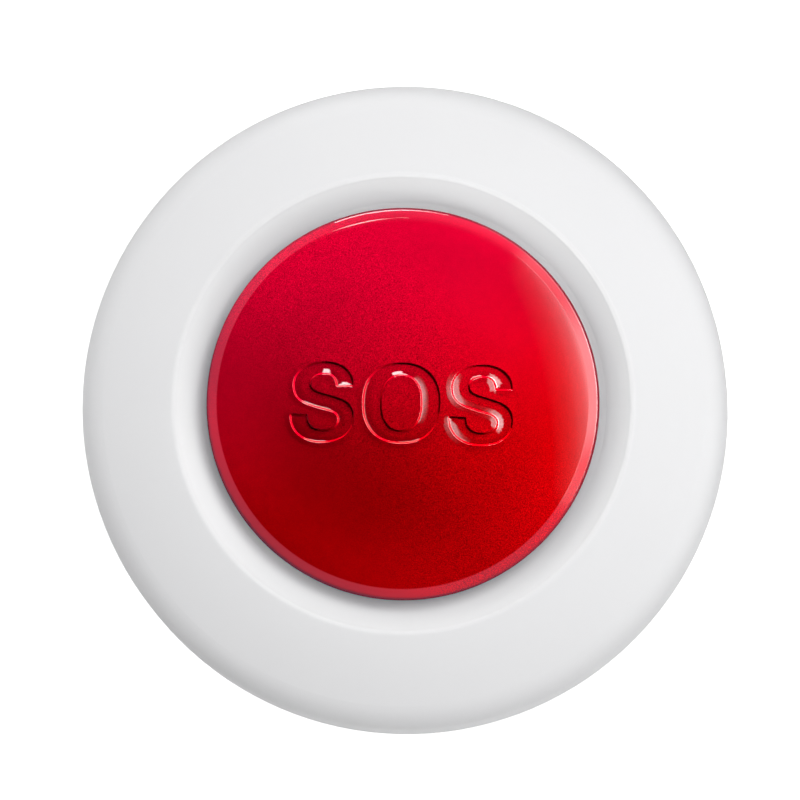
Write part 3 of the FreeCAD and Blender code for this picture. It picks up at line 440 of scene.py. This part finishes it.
# Rows of points beside the letters' edges: distances inside the edge, the ones on the walls, the steps along
# the edge on the walls and off them, and how near to its row's distance a point has to lie
ROW_OFFSETS = (-1.3, -1.0, -0.8, -0.66, -0.62, -0.45, -0.25, -0.12, -0.06, -0.02, 0.02, 0.1, 0.18,
               0.21, 0.31, 0.35, 0.45, 0.55, 0.67, 0.8, 0.92)
WALL_OFFSETS = (-0.15, 0.3)
WALL_STEP = 0.14
PLAIN_STEP = 0.26
ROW_TOLERANCE = 0.012

# The plain grid: its step, how far outside and inside the letters' edges it starts, how far it keeps from the
# field's edge, and the size of the cells that hold one point each
GRID_STEP = 0.42
GRID_OUTSIDE = 1.5
GRID_INSIDE = 1.0
GRID_MARGIN = 0.3
POINT_CELL = 0.016

# How far each way the slope for a normal is taken, and how many points are measured at once
SLOPE_REACH = 0.012
POINTS_AT_ONCE = 4000


def bezier(start, first, second, end, count=14):
    """Points along one cubic curve, without its last point."""
    t = np.linspace(0.0, 1.0, count, endpoint=False)[:, None]
    start, first, second, end = (np.array(p, float) for p in (start, first, second, end))
    return (1 - t) ** 3 * start + 3 * (1 - t) ** 2 * t * first + 3 * (1 - t) * t ** 2 * second + t ** 3 * end


def letter_s():
    """The outline of the S, drawn as curves between its extreme points."""
    runs = [
        ((3.75, 2.10), (3.75, 3.75), (2.25, 4.88), (0.30, 4.88)),
        ((0.30, 4.88), (-1.95, 4.88), (-3.61, 3.80), (-3.61, 2.05)),
        ((-3.61, 2.05), (-3.61, 0.15), (-2.20, -0.25), (-0.65, -0.70)),
        ((-0.65, -0.70), (0.75, -1.08), (1.92, -1.15), (1.92, -2.10)),
        ((1.92, -2.10), (1.92, -2.95), (1.15, -3.34), (0.05, -3.34)),
        ((0.05, -3.34), (-1.00, -3.34), (-1.72, -2.80), (-1.74, -1.72)),
        ((-1.74, -1.72), (-1.74, -1.55), (-1.80, -1.52), (-1.92, -1.52)),
        ((-1.92, -1.52), (-2.50, -1.50), (-3.10, -1.48), (-3.70, -1.46)),
        ((-3.70, -1.46), (-3.84, -1.46), (-3.90, -1.55), (-3.90, -1.70)),
        ((-3.90, -1.70), (-3.90, -3.60), (-2.35, -4.90), (0.00, -4.90)),
        ((0.00, -4.90), (2.30, -4.90), (3.87, -3.75), (3.87, -1.85)),
        ((3.87, -1.85), (3.87, 0.05), (2.35, 0.40), (0.95, 0.80)),
        ((0.95, 0.80), (-0.55, 1.22), (-1.41, 1.30), (-1.41, 2.25)),
        ((-1.41, 2.25), (-1.41, 3.00), (-0.65, 3.36), (0.30, 3.36)),
        ((0.30, 3.36), (1.15, 3.36), (1.62, 2.75), (1.64, 2.02)),
        ((1.64, 2.02), (1.66, 1.90), (1.72, 1.84), (1.85, 1.84)),
        ((1.85, 1.84), (2.40, 1.85), (3.00, 1.87), (3.55, 1.88)),
        ((3.55, 1.88), (3.68, 1.88), (3.75, 1.96), (3.75, 2.10)),
    ]
    return np.concatenate([bezier(*run) for run in runs])


def rounded_oval(half_width, half_height, fullness=2.3, count=180):
    """An oval a little squarer than an ellipse."""
    turn = np.linspace(0.0, 2.0 * math.pi, count, endpoint=False)
    across, up = np.cos(turn), np.sin(turn)
    x = half_width * np.sign(across) * np.abs(across) ** (2.0 / fullness)
    y = half_height * np.sign(up) * np.abs(up) ** (2.0 / fullness)
    return np.stack([x, y], 1)


def word_outlines():
    """The closed outlines of the three letters, centred on the dome."""
    first = letter_s() + (-LETTER_PITCH, 0.0)
    last = letter_s() + (LETTER_PITCH, 0.0)
    outlines = [first, rounded_oval(*O_OUTSIDE), rounded_oval(*O_COUNTER), last]
    return [line + (0.0, LETTER_DROP) for line in outlines]


def evenly(line, step):
    """The closed outline with its points an even step apart."""
    closed = np.vstack([line, line[:1]])
    run = np.concatenate([[0.0], np.cumsum(np.linalg.norm(np.diff(closed, axis=0), axis=1))])
    count = int(round(run[-1] / step))
    at = np.linspace(0.0, run[-1], count, endpoint=False)
    return np.stack([np.interp(at, run, closed[:, 0]), np.interp(at, run, closed[:, 1])], 1)


def inside_any(points, outlines):
    """Whether each point lies in the strokes: inside an odd number of outlines."""
    odd = np.zeros(len(points), bool)
    for line in outlines:
        for (x0, y0), (x1, y1) in zip(line, np.roll(line, -1, axis=0)):
            crosses = (y0 > points[:, 1]) != (y1 > points[:, 1])
            rise = (y1 - y0) or 1e-12
            at = x0 + (points[:, 1] - y0) * (x1 - x0) / rise
            odd ^= crosses & (points[:, 0] < at)
    return odd


def edge_distance(points, outlines):
    """Distance to the nearest outline, positive inside the strokes."""
    nearest = np.full(len(points), np.inf)
    blocks = np.array_split(np.arange(len(points)), max(1, len(points) // POINTS_AT_ONCE))
    for line in outlines:
        span = np.roll(line, -1, axis=0) - line
        length2 = (span ** 2).sum(1)
        for block in blocks:
            away = points[block, None, :] - line[None]
            share = np.clip((away * span[None]).sum(2) / length2[None], 0.0, 1.0)
            gap = away - share[..., None] * span[None]
            nearest[block] = np.minimum(nearest[block], np.sqrt((gap ** 2).sum(2)).min(1))
    return np.where(inside_any(points, outlines), nearest, -nearest)


def groove_depth(distance, in_counter):
    """How far the surface is sunk at a distance inside the edge. The counter of the O stays flatter."""
    distances, slopes = zip(*GROOVE)
    at = np.linspace(distances[0], distances[-1], GROOVE_SAMPLES)
    slope = np.tan(np.radians(np.interp(at, distances, slopes)))
    depth = np.concatenate([[0.0], np.cumsum((slope[1:] + slope[:-1]) / 2 * np.diff(at))])
    sunk = np.interp(distance, at, depth)
    edge = np.interp(0.0, at, depth)
    return np.where(in_counter, edge - COUNTER_SHARE * (edge - sunk), sunk)


def dome_level(points, outlines):
    """Height of the engraved dome over each point."""
    radius2 = (points ** 2).sum(1)
    dome = CAP_TOP - DOME_RADIUS + np.sqrt(DOME_RADIUS ** 2 - radius2)
    counter = outlines[2]
    return dome - groove_depth(edge_distance(points, outlines), inside_any(points, [counter]))


def dome_normals(points, outlines):
    """Normals of the engraved dome, from the slope of its height."""
    slopes = []
    for shift in ((SLOPE_REACH, 0.0), (0.0, SLOPE_REACH)):
        rise = dome_level(points + shift, outlines) - dome_level(points - shift, outlines)
        slopes.append(-rise / (2 * SLOPE_REACH))
    normals = np.stack(slopes + [np.ones(len(points))], 1)
    return normals / np.linalg.norm(normals, axis=1)[:, None]


def field_points(outlines):
    """Points of the engraved field: rows that follow the letters' edges, and a plain grid elsewhere."""
    rows = []
    for offset in ROW_OFFSETS:
        on_wall = WALL_OFFSETS[0] < offset < WALL_OFFSETS[1]
        for line in outlines:
            even = evenly(line, WALL_STEP if on_wall else PLAIN_STEP)
            along = np.roll(even, -1, axis=0) - np.roll(even, 1, axis=0)
            side = np.stack([-along[:, 1], along[:, 0]], 1) / np.linalg.norm(along, axis=1)[:, None]
            for sign in (1.0, -1.0):
                moved = even + side * abs(offset) * sign
                true = edge_distance(moved, outlines)
                rows.append(moved[np.abs(true - offset) < ROW_TOLERANCE])
    across = np.arange(-FIELD_RADIUS, FIELD_RADIUS, GRID_STEP)
    grid = np.stack(np.meshgrid(across, across), -1).reshape(-1, 2)
    grid = grid[np.hypot(grid[:, 0], grid[:, 1]) < FIELD_RADIUS - GRID_MARGIN]
    distance = edge_distance(grid, outlines)
    grid = grid[(distance < -GRID_OUTSIDE) | (distance > GRID_INSIDE)]
    points = np.concatenate([*rows, grid])
    points = points[np.hypot(points[:, 0], points[:, 1]) < FIELD_RADIUS - FIELD_GAP]
    cell = np.round(points / POINT_CELL).astype(int)
    _, keep = np.unique(cell, axis=0, return_index=True)
    return points[np.sort(keep)]


# The cap under its rim: how far in the skirt stands, its wall, how far it reaches below the rim, the dome's
# wall, and the step where skirt and dome meet
SKIRT_INSET = 1.1
SKIRT_WALL = 1.6
SKIRT_DEPTH = 3.7
DOME_WALL = 2.0
STEP_WIDTH = 0.8
STEP_RISE = 0.6

# Where the rings inside the dome end, in degrees from its middle
INNER_END = 0.6


def cap_profile():
    """The cap's section outside the engraved field and under it: radius, level and normal."""
    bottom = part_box("button_cap")[0].z / MM
    rim, skirt = CAP_RADIUS, CAP_RADIUS - SKIRT_INSET
    rim_bottom = bottom + SKIRT_DEPTH
    centre = CAP_TOP - DOME_RADIUS
    facet_tilt = math.radians(FACET_TILT)
    crease_turn = math.degrees(math.asin(CREASE_RADIUS / DOME_RADIUS))
    crease_level = centre + DOME_RADIUS * math.cos(math.radians(crease_turn))
    facet_level = crease_level - (FACET_RADIUS - CREASE_RADIUS) * math.tan(facet_tilt)
    corner = (rim - FACET_RADIUS) / (1.0 - math.sin(facet_tilt))
    corner_level = facet_level - corner * math.cos(facet_tilt)
    points = []

    def arc(mid_r, mid_z, radius, start, end, count, side=1.0):
        for turn in np.radians(np.linspace(start, end, count)):
            points.append((mid_r + radius * math.sin(turn), mid_z + radius * math.cos(turn),
                           side * math.sin(turn), side * math.cos(turn)))

    def straight(*ends):
        for (r0, z0), (r1, z1) in zip(ends, ends[1:]):
            length = math.hypot(r1 - r0, z1 - z0)
            across, up = (z0 - z1) / length, (r1 - r0) / length
            points.append((r0, z0, across, up))
            points.append((r1, z1, across, up))

    start_turn = math.degrees(math.asin((FIELD_RADIUS + FIELD_GAP) / DOME_RADIUS))
    arc(0.0, centre, DOME_RADIUS, start_turn, crease_turn, 30)
    points.append((CREASE_RADIUS + CREASE_WIDTH, crease_level - CREASE_WIDTH * math.tan(facet_tilt),
                   math.sin(facet_tilt), math.cos(facet_tilt)))
    arc(rim - corner, corner_level, corner, FACET_TILT, 90.0, 18)
    inner = skirt - SKIRT_WALL
    shoulder = inner - STEP_WIDTH
    shoulder_top = rim_bottom + STEP_RISE
    straight((rim, corner_level), (rim, rim_bottom), (skirt, rim_bottom), (skirt, bottom), (inner, bottom),
             (inner, shoulder_top), (shoulder, shoulder_top))
    inner_radius = DOME_RADIUS - DOME_WALL
    under = math.degrees(math.asin(shoulder / inner_radius))
    straight((shoulder, shoulder_top), (shoulder, centre + inner_radius * math.cos(math.radians(under))))
    arc(0.0, centre, inner_radius, under, INNER_END, 24, -1.0)
    return points


def red_cap():
    """The whole cap as one closed shell: engraved field, dome, rim, skirt and inside."""
    outlines = word_outlines()
    turn = np.linspace(0.0, 2 * math.pi, SPOKES, endpoint=False)
    spoke = np.stack([np.cos(turn), np.sin(turn)], 1)
    ring = spoke * FIELD_RADIUS
    flat = np.concatenate([ring, field_points(outlines)])
    edges = [(i, (i + 1) % SPOKES) for i in range(SPOKES)]
    inside_only, same_point = 1, 1e-6
    meshed = geometry.delaunay_2d_cdt([Vector(p) for p in flat], edges, [], inside_only, same_point)
    _, _, faces, origin, _, _ = meshed
    order = [o[0] for o in origin]
    flat = flat[order]
    points = np.column_stack([flat, dome_level(flat, outlines)])
    normals = dome_normals(flat, outlines)
    home = {original: new for new, original in enumerate(order)}
    last = [home[i] for i in range(SPOKES)]
    points, normals, faces = points.tolist(), normals.tolist(), [tuple(f) for f in faces]
    for radius, level, across, up in cap_profile():
        ring_at = []
        for c, s in spoke:
            ring_at.append(len(points))
            points.append((radius * c, radius * s, level))
            normals.append((across * c, across * s, up))
        for i in range(SPOKES):
            j = (i + 1) % SPOKES
            faces.append((last[i], ring_at[i], ring_at[j], last[j]))
        last = ring_at
    faces.append(tuple(last))
    return points, normals, faces


cap_points, cap_normals, cap_faces = red_cap()
cap_lens = smooth_mesh("cap_lens", cap_points, cap_faces, cap_normals)
cap_lens.data.materials.append(finishes["cap_red"])
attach(cap_lens, "push_cap")
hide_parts("button_cap")


# The white housing

# Triangles under this many square metres have no say in the shading
SLIVER_AREA = 1e-9

# A corner's normal is sound where its cosine to the face is above this
SOUND_SHADING = 0.8

# Decimals of a metre to which two corners are at the same spot
SPOT_DECIMALS = 7


def spot_of(mesh, corner):
    """Where a corner of the mesh is, rounded so that corners at one spot match."""
    return tuple(round(c, SPOT_DECIMALS) for c in mesh.vertices[mesh.loops[corner].vertex_index].co)


def even_shading(node, name):
    """A copy of a moulding whose shading no longer breaks at its thinnest triangles."""
    mesh = node.data.copy()
    mesh.name = name
    made = bpy.data.objects.new(name, mesh)
    bpy.context.scene.collection.objects.link(made)
    made.matrix_world = node.matrix_world.copy()
    corner_normals = [Vector(corner.vector) for corner in mesh.corner_normals]
    shared = {}
    for polygon in mesh.polygons:
        if polygon.area < SLIVER_AREA:
            continue
        for corner in polygon.loop_indices:
            if corner_normals[corner].dot(polygon.normal) > SOUND_SHADING:
                shared.setdefault(spot_of(mesh, corner), []).append(corner_normals[corner])
    for polygon in mesh.polygons:
        for corner in polygon.loop_indices:
            if corner_normals[corner].dot(polygon.normal) > SOUND_SHADING:
                continue
            near = shared.get(spot_of(mesh, corner), [])
            alike = [n for n in near if n.dot(polygon.normal) > SOUND_SHADING]
            corner_normals[corner] = sum(alike, Vector()).normalized() if alike else polygon.normal.copy()
    mesh.normals_split_custom_set(corner_normals)
    return made


housing_shell = even_shading(nodes_of_cad["front_housing"], "housing_shell")
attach(housing_shell, "front_unit")
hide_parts("front_housing")


# The return spring

# Radius of the wire, and turns between the flat ends
SPRING_WIRE = 0.35
SPRING_TURNS = 3


def closed_coil(radius, wire, low, high, free_turns, per_turn=44, around=14):
    """A wound spring between two levels, with half a turn laid flat at each end."""
    total = free_turns + 1.0
    points, normals, rings = [], [], []
    for step in range(int(total * per_turn) + 1):
        turn = step / per_turn
        share = min(max((turn - 0.5) / free_turns, 0.0), 1.0)
        angle = 2.0 * math.pi * turn
        level = low + wire + share * (high - low - 2.0 * wire)
        middle = (radius * math.cos(angle), radius * math.sin(angle), level)
        ring = []
        for spoke in range(around):
            lean = 2.0 * math.pi * spoke / around
            out = (math.cos(lean) * math.cos(angle), math.cos(lean) * math.sin(angle), math.sin(lean))
            ring.append(len(points))
            points.append(tuple(m + wire * o for m, o in zip(middle, out)))
            normals.append(out)
        rings.append(ring)
    faces = []
    for ring, following in zip(rings, rings[1:]):
        for i in range(around):
            j = (i + 1) % around
            faces.append((ring[i], ring[j], following[j], following[i]))
    for ring, turn, way in ((rings[0], 0.0, -1.0), (rings[-1], total, 1.0)):
        angle = 2.0 * math.pi * turn
        cut = [len(points) + i for i in range(around)]
        points.extend(points[i] for i in ring)
        normals.extend([(-way * math.sin(angle), way * math.cos(angle), 0.0)] * around)
        faces.append(tuple(cut if way > 0 else reversed(cut)))
    return points, normals, faces


spring_low, spring_high = (corner.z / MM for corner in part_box("return_spring"))
spring_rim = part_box("return_spring")[1].x / MM
spring_coil = closed_coil(spring_rim - SPRING_WIRE, SPRING_WIRE, spring_low, spring_high, SPRING_TURNS)
coil_points, coil_normals, coil_faces = spring_coil
wound_spring = smooth_mesh("wound_spring", coil_points, coil_faces, coil_normals)
wound_spring.data.materials.append(finishes["spring_steel"])
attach(wound_spring, "front_unit")
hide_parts("return_spring")
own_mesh(wound_spring)


# Floor, light and camera

# How far the floor reaches, and its level just under the part's back
FLOOR_REACH = 1500.0
FLOOR_LEVEL = -0.05

# Brightness of the ground in reflections, and of what the camera sees past the floor
GROUND_GLOW = 0.4
BACKDROP_GLOW = 0.9


def floor():
    """A wide pale floor just under the part, clear when it is seen from below."""
    signs = ((-1.0, -1.0), (1.0, -1.0), (1.0, 1.0), (-1.0, 1.0))
    corners = [(x * FLOOR_REACH, y * FLOOR_REACH, FLOOR_LEVEL) for x, y in signs]
    made = smooth_mesh("floor", corners, [(0, 1, 2, 3)])
    paint, shader = material("floor_white")
    cloud = shader.noise(300.0)
    pale = shader.node("ShaderNodeBsdfPrincipled", None, **{
        "Base Color": shader.between(cloud, rgb(0.94, 0.94, 0.94), rgb(0.95, 0.95, 0.95)),
        "Roughness": 0.9,
        "Emission Color": rgb(1.0, 1.0, 1.0),
        "Emission Strength": 0.9,
    })
    clear = shader.node("ShaderNodeBsdfTransparent")
    from_below = shader.node("ShaderNodeNewGeometry", output="Backfacing")
    mixed = shader.node("ShaderNodeMixShader", None, from_below, pale, clear)
    shader.node("ShaderNodeOutputMaterial", None, mixed)
    made.data.materials.append(paint)
    made.visible_diffuse = False
    made.visible_shadow = False


def studio_room():
    """A dark room over a pale ground, with a pale backdrop where nothing else is seen."""
    world = bpy.data.worlds.new("studio")
    bpy.context.scene.world = world
    shader = Shader(world)
    up = shader.part_of(shader.node("ShaderNodeTexCoord", output="Generated"), "Z")
    ground = 1.0 - up.above(-0.02, 0.0)
    seen = shader.node("ShaderNodeLightPath", output="Is Camera Ray")
    strength = GROUND_GLOW * ground * (1.0 - seen) + BACKDROP_GLOW * seen
    light = shader.node("ShaderNodeBackground", None, rgb(1.0, 1.0, 1.0), strength)
    shader.node("ShaderNodeOutputWorld", None, light)


# Where all lights but the tall panel are aimed
DOME_SPOT = (0.0, 0.0, 0.02)


def soft_light(name, spot, width, height, glow, aim=DOME_SPOT, shape=None, gloss_only=False):
    """A rectangular studio light, in metres, that either the gloss alone sees or all but the gloss.

    glow is its brightness, and shape(shader, u, v) may fade it across its face.
    """
    light = bpy.data.lights.new(name, "AREA")
    light.shape = "RECTANGLE"
    light.size, light.size_y = width, height
    light.energy = glow * width * height * math.pi
    made = bpy.data.objects.new(name, light)
    bpy.context.scene.collection.objects.link(made)
    made.location = spot
    made.rotation_euler = (Vector(spot) - Vector(aim)).to_track_quat("Z", "Y").to_euler()
    made.visible_camera = False
    made.visible_diffuse = not gloss_only
    made.visible_glossy = gloss_only
    if shape is not None:
        shader = Shader(light)
        place = shader.node("ShaderNodeNewGeometry", output="Parametric")
        u, v = shader.part_of(place, "X"), shader.part_of(place, "Y")
        glowing = shader.node("ShaderNodeEmission", None, rgb(1.0, 1.0, 1.0), shape(shader, u, v))
        shader.node("ShaderNodeOutputLight", None, glowing)
    return made


def flagged(light, state, piece):
    """Keep a light off a piece, or on it alone, as a studio flag does."""
    group = bpy.data.collections.new(light.name + "_flag")
    group.objects.link(piece)
    for member in group.collection_objects:
        member.light_linking.link_state = state
    light.light_linking.receiver_collection = group


def round_about(azimuth, zenith, distance):
    """A spot at this compass angle and angle from straight up, in degrees, seen from the dome."""
    azimuth, zenith = math.radians(azimuth), math.radians(zenith)
    return (distance * math.sin(zenith) * math.cos(azimuth), distance * math.sin(zenith) * math.sin(azimuth),
            distance * math.cos(zenith) + DOME_SPOT[2])


# The tall panel on the right: its compass angle, width, how far it is moved along itself, and the angle from
# straight up at which it ends, a metre away
PANEL_TURN = math.radians(12.4)
PANEL_WIDTH = 2.42
PANEL_SHIFT = 0.2
PANEL_TOP = 40.5
PANEL_HEIGHT = 1.0 / math.tan(math.radians(PANEL_TOP))

# The shares of its width over which it comes up and dies away again
PANEL_RISE = (0.0, 0.14)
PANEL_FALL = (0.76, 0.88)

# Its brightness towards each angle from straight up, in degrees
PANEL_GLOW = 9.5
PANEL_TONES = ((74.0, 9.5), (67.0, 9.0), (64.0, 5.8), (54.6, 5.3), (53.4, 3.2), (52.6, 2.4), (51.6, 1.8),
               (48.7, 0.75), (46.5, 0.38), (44.1, 0.17), (42.5, 0.08), (41.0, 0.0))


def panel_fade(shader, u, v):
    """Brightness of the tall panel from its foot to its top and across its width."""
    ramp = shader.tree.nodes.new("ShaderNodeFloatCurve")
    curve = ramp.mapping.curves[0]
    curve.points[0].location = (0.0, PANEL_TONES[0][1] / PANEL_GLOW)
    curve.points[1].location = (1.0, PANEL_TONES[-1][1] / PANEL_GLOW)
    for zenith, tone in PANEL_TONES:
        curve.points.new(1.0 / math.tan(math.radians(zenith)) / PANEL_HEIGHT, tone / PANEL_GLOW)
    for point in curve.points:
        point.handle_type = "VECTOR"
    ramp.mapping.update()
    shader.put(ramp.inputs["Value"], v)
    return Value(shader, ramp.outputs[0]) * u.above(*PANEL_RISE) * (1.0 - u.above(*PANEL_FALL))


def tall_panel():
    """The tall upright panel, a metre to the right of the dome."""
    across = Vector((-math.sin(PANEL_TURN), math.cos(PANEL_TURN), 0.0))
    foot = Vector((math.cos(PANEL_TURN), math.sin(PANEL_TURN), 0.0))
    spot = foot + across * PANEL_SHIFT + Vector((0.0, 0.0, PANEL_HEIGHT / 2 + DOME_SPOT[2]))
    soft_light("panel_right", spot, PANEL_WIDTH, PANEL_HEIGHT, PANEL_GLOW, spot - foot, panel_fade,
               gloss_only=True)


# Smaller panels for the gloss: compass angle, angle from straight up, distance, width, height, brightness
GLOSS_PANELS = (
    ("panel_top", 96.0, 79.0, 1.0, 0.56, 0.31, 24.0),
    ("panel_behind", 103.0, 62.8, 1.0, 0.36, 0.112, 18.0),
    ("panel_low", 22.0, 82.0, 1.0, 2.2, 0.27, 17.0),
)

# Lamps for all but the gloss, in the same order of numbers
SOFT_LAMPS = (
    ("key", 40.0, 33.0, 0.2, 0.18, 0.18, 2.08),
    ("fill", 0.0, 0.0, 0.88, 2.0, 2.0, 0.80),
    ("dome_key", 54.0, 50.0, 0.2, 0.12, 0.12, 20.0),
    ("dome_fill", 230.0, 40.0, 0.3, 0.15, 0.15, 0.5),
    ("lamp_55", 55.0, 75.0, 0.6, 0.3, 0.3, 0.1),
    ("lamp_100", 100.0, 75.0, 0.6, 0.3, 0.3, 1.4),
    ("lamp_145", 145.0, 75.0, 0.6, 0.3, 0.3, 2.4),
    ("lamp_190", 190.0, 75.0, 0.6, 0.3, 0.3, 1.9),
    ("lamp_280", 280.0, 75.0, 0.6, 0.3, 0.3, 0.2),
    ("lamp_315", 315.0, 75.0, 0.6, 0.3, 0.3, 4.4),
)

# Lights that reach only the cap. The other soft lamps reach all but the cap.
CAP_LIGHTS = ("panel_low", "dome_key", "dome_fill")


def studio_lights():
    """The panels and lamps, some flagged on or off the cap, and no bounces between matt surfaces."""
    tall_panel()
    lights = {}
    for name, azimuth, zenith, distance, width, height, glow in GLOSS_PANELS:
        spot = round_about(azimuth, zenith, distance)
        lights[name] = soft_light(name, spot, width, height, glow, gloss_only=True)
    for name, azimuth, zenith, distance, width, height, glow in SOFT_LAMPS:
        spot = round_about(azimuth, zenith, distance)
        lights[name] = soft_light(name, spot, width, height, glow)
        if name not in CAP_LIGHTS:
            flagged(lights[name], "EXCLUDE", cap_lens)
    for name in CAP_LIGHTS:
        flagged(lights[name], "INCLUDE", cap_lens)
    lights["dome_key"].data.use_shadow = False
    lights["dome_fill"].data.use_shadow = False
    bpy.context.scene.cycles.diffuse_bounces = 0


floor()
studio_room()
studio_lights()


# The camera as the photograph's circles give it, in metres and in pixels of its 800-pixel frame
CAMERA_DISTANCE = 0.6
CAMERA_TILT = math.radians(4.27)
CAMERA_SIDE = math.radians(23.7)
CAMERA_ROLL = math.radians(1.3)
CAMERA_AIM = Vector((0.0, 0.0, 0.012))
FRAME_PIXELS = 800.0
FOCAL_PIXELS = 4903.6
AIM_PIXEL = (404.04, 406.53)


def camera():
    """The camera almost straight above the dome, as in the photograph."""
    lens = bpy.data.cameras.new("camera")
    lens.sensor_width = 36.0
    lens.lens = FOCAL_PIXELS / FRAME_PIXELS * lens.sensor_width
    lens.shift_x = -(AIM_PIXEL[0] - FRAME_PIXELS / 2) / FRAME_PIXELS
    lens.shift_y = (AIM_PIXEL[1] - FRAME_PIXELS / 2) / FRAME_PIXELS
    lens.clip_start = 0.01
    made = bpy.data.objects.new("camera", lens)
    bpy.context.scene.collection.objects.link(made)
    back = Vector((math.sin(CAMERA_TILT) * math.sin(CAMERA_SIDE),
                   -math.sin(CAMERA_TILT) * math.cos(CAMERA_SIDE), math.cos(CAMERA_TILT)))
    made.location = CAMERA_AIM + back * CAMERA_DISTANCE
    right = Vector((0.0, 1.0, 0.0)).cross(back).normalized()
    up = back.cross(right)
    turned_right = right * math.cos(CAMERA_ROLL) + up * math.sin(CAMERA_ROLL)
    turned_up = up * math.cos(CAMERA_ROLL) - right * math.sin(CAMERA_ROLL)
    made.rotation_euler = Matrix((turned_right, turned_up, back)).transposed().to_euler()
    bpy.context.scene.camera = made


camera()
bpy.context.scene.view_settings.view_transform = "Standard"
bpy.context.scene.view_settings.look = "None"
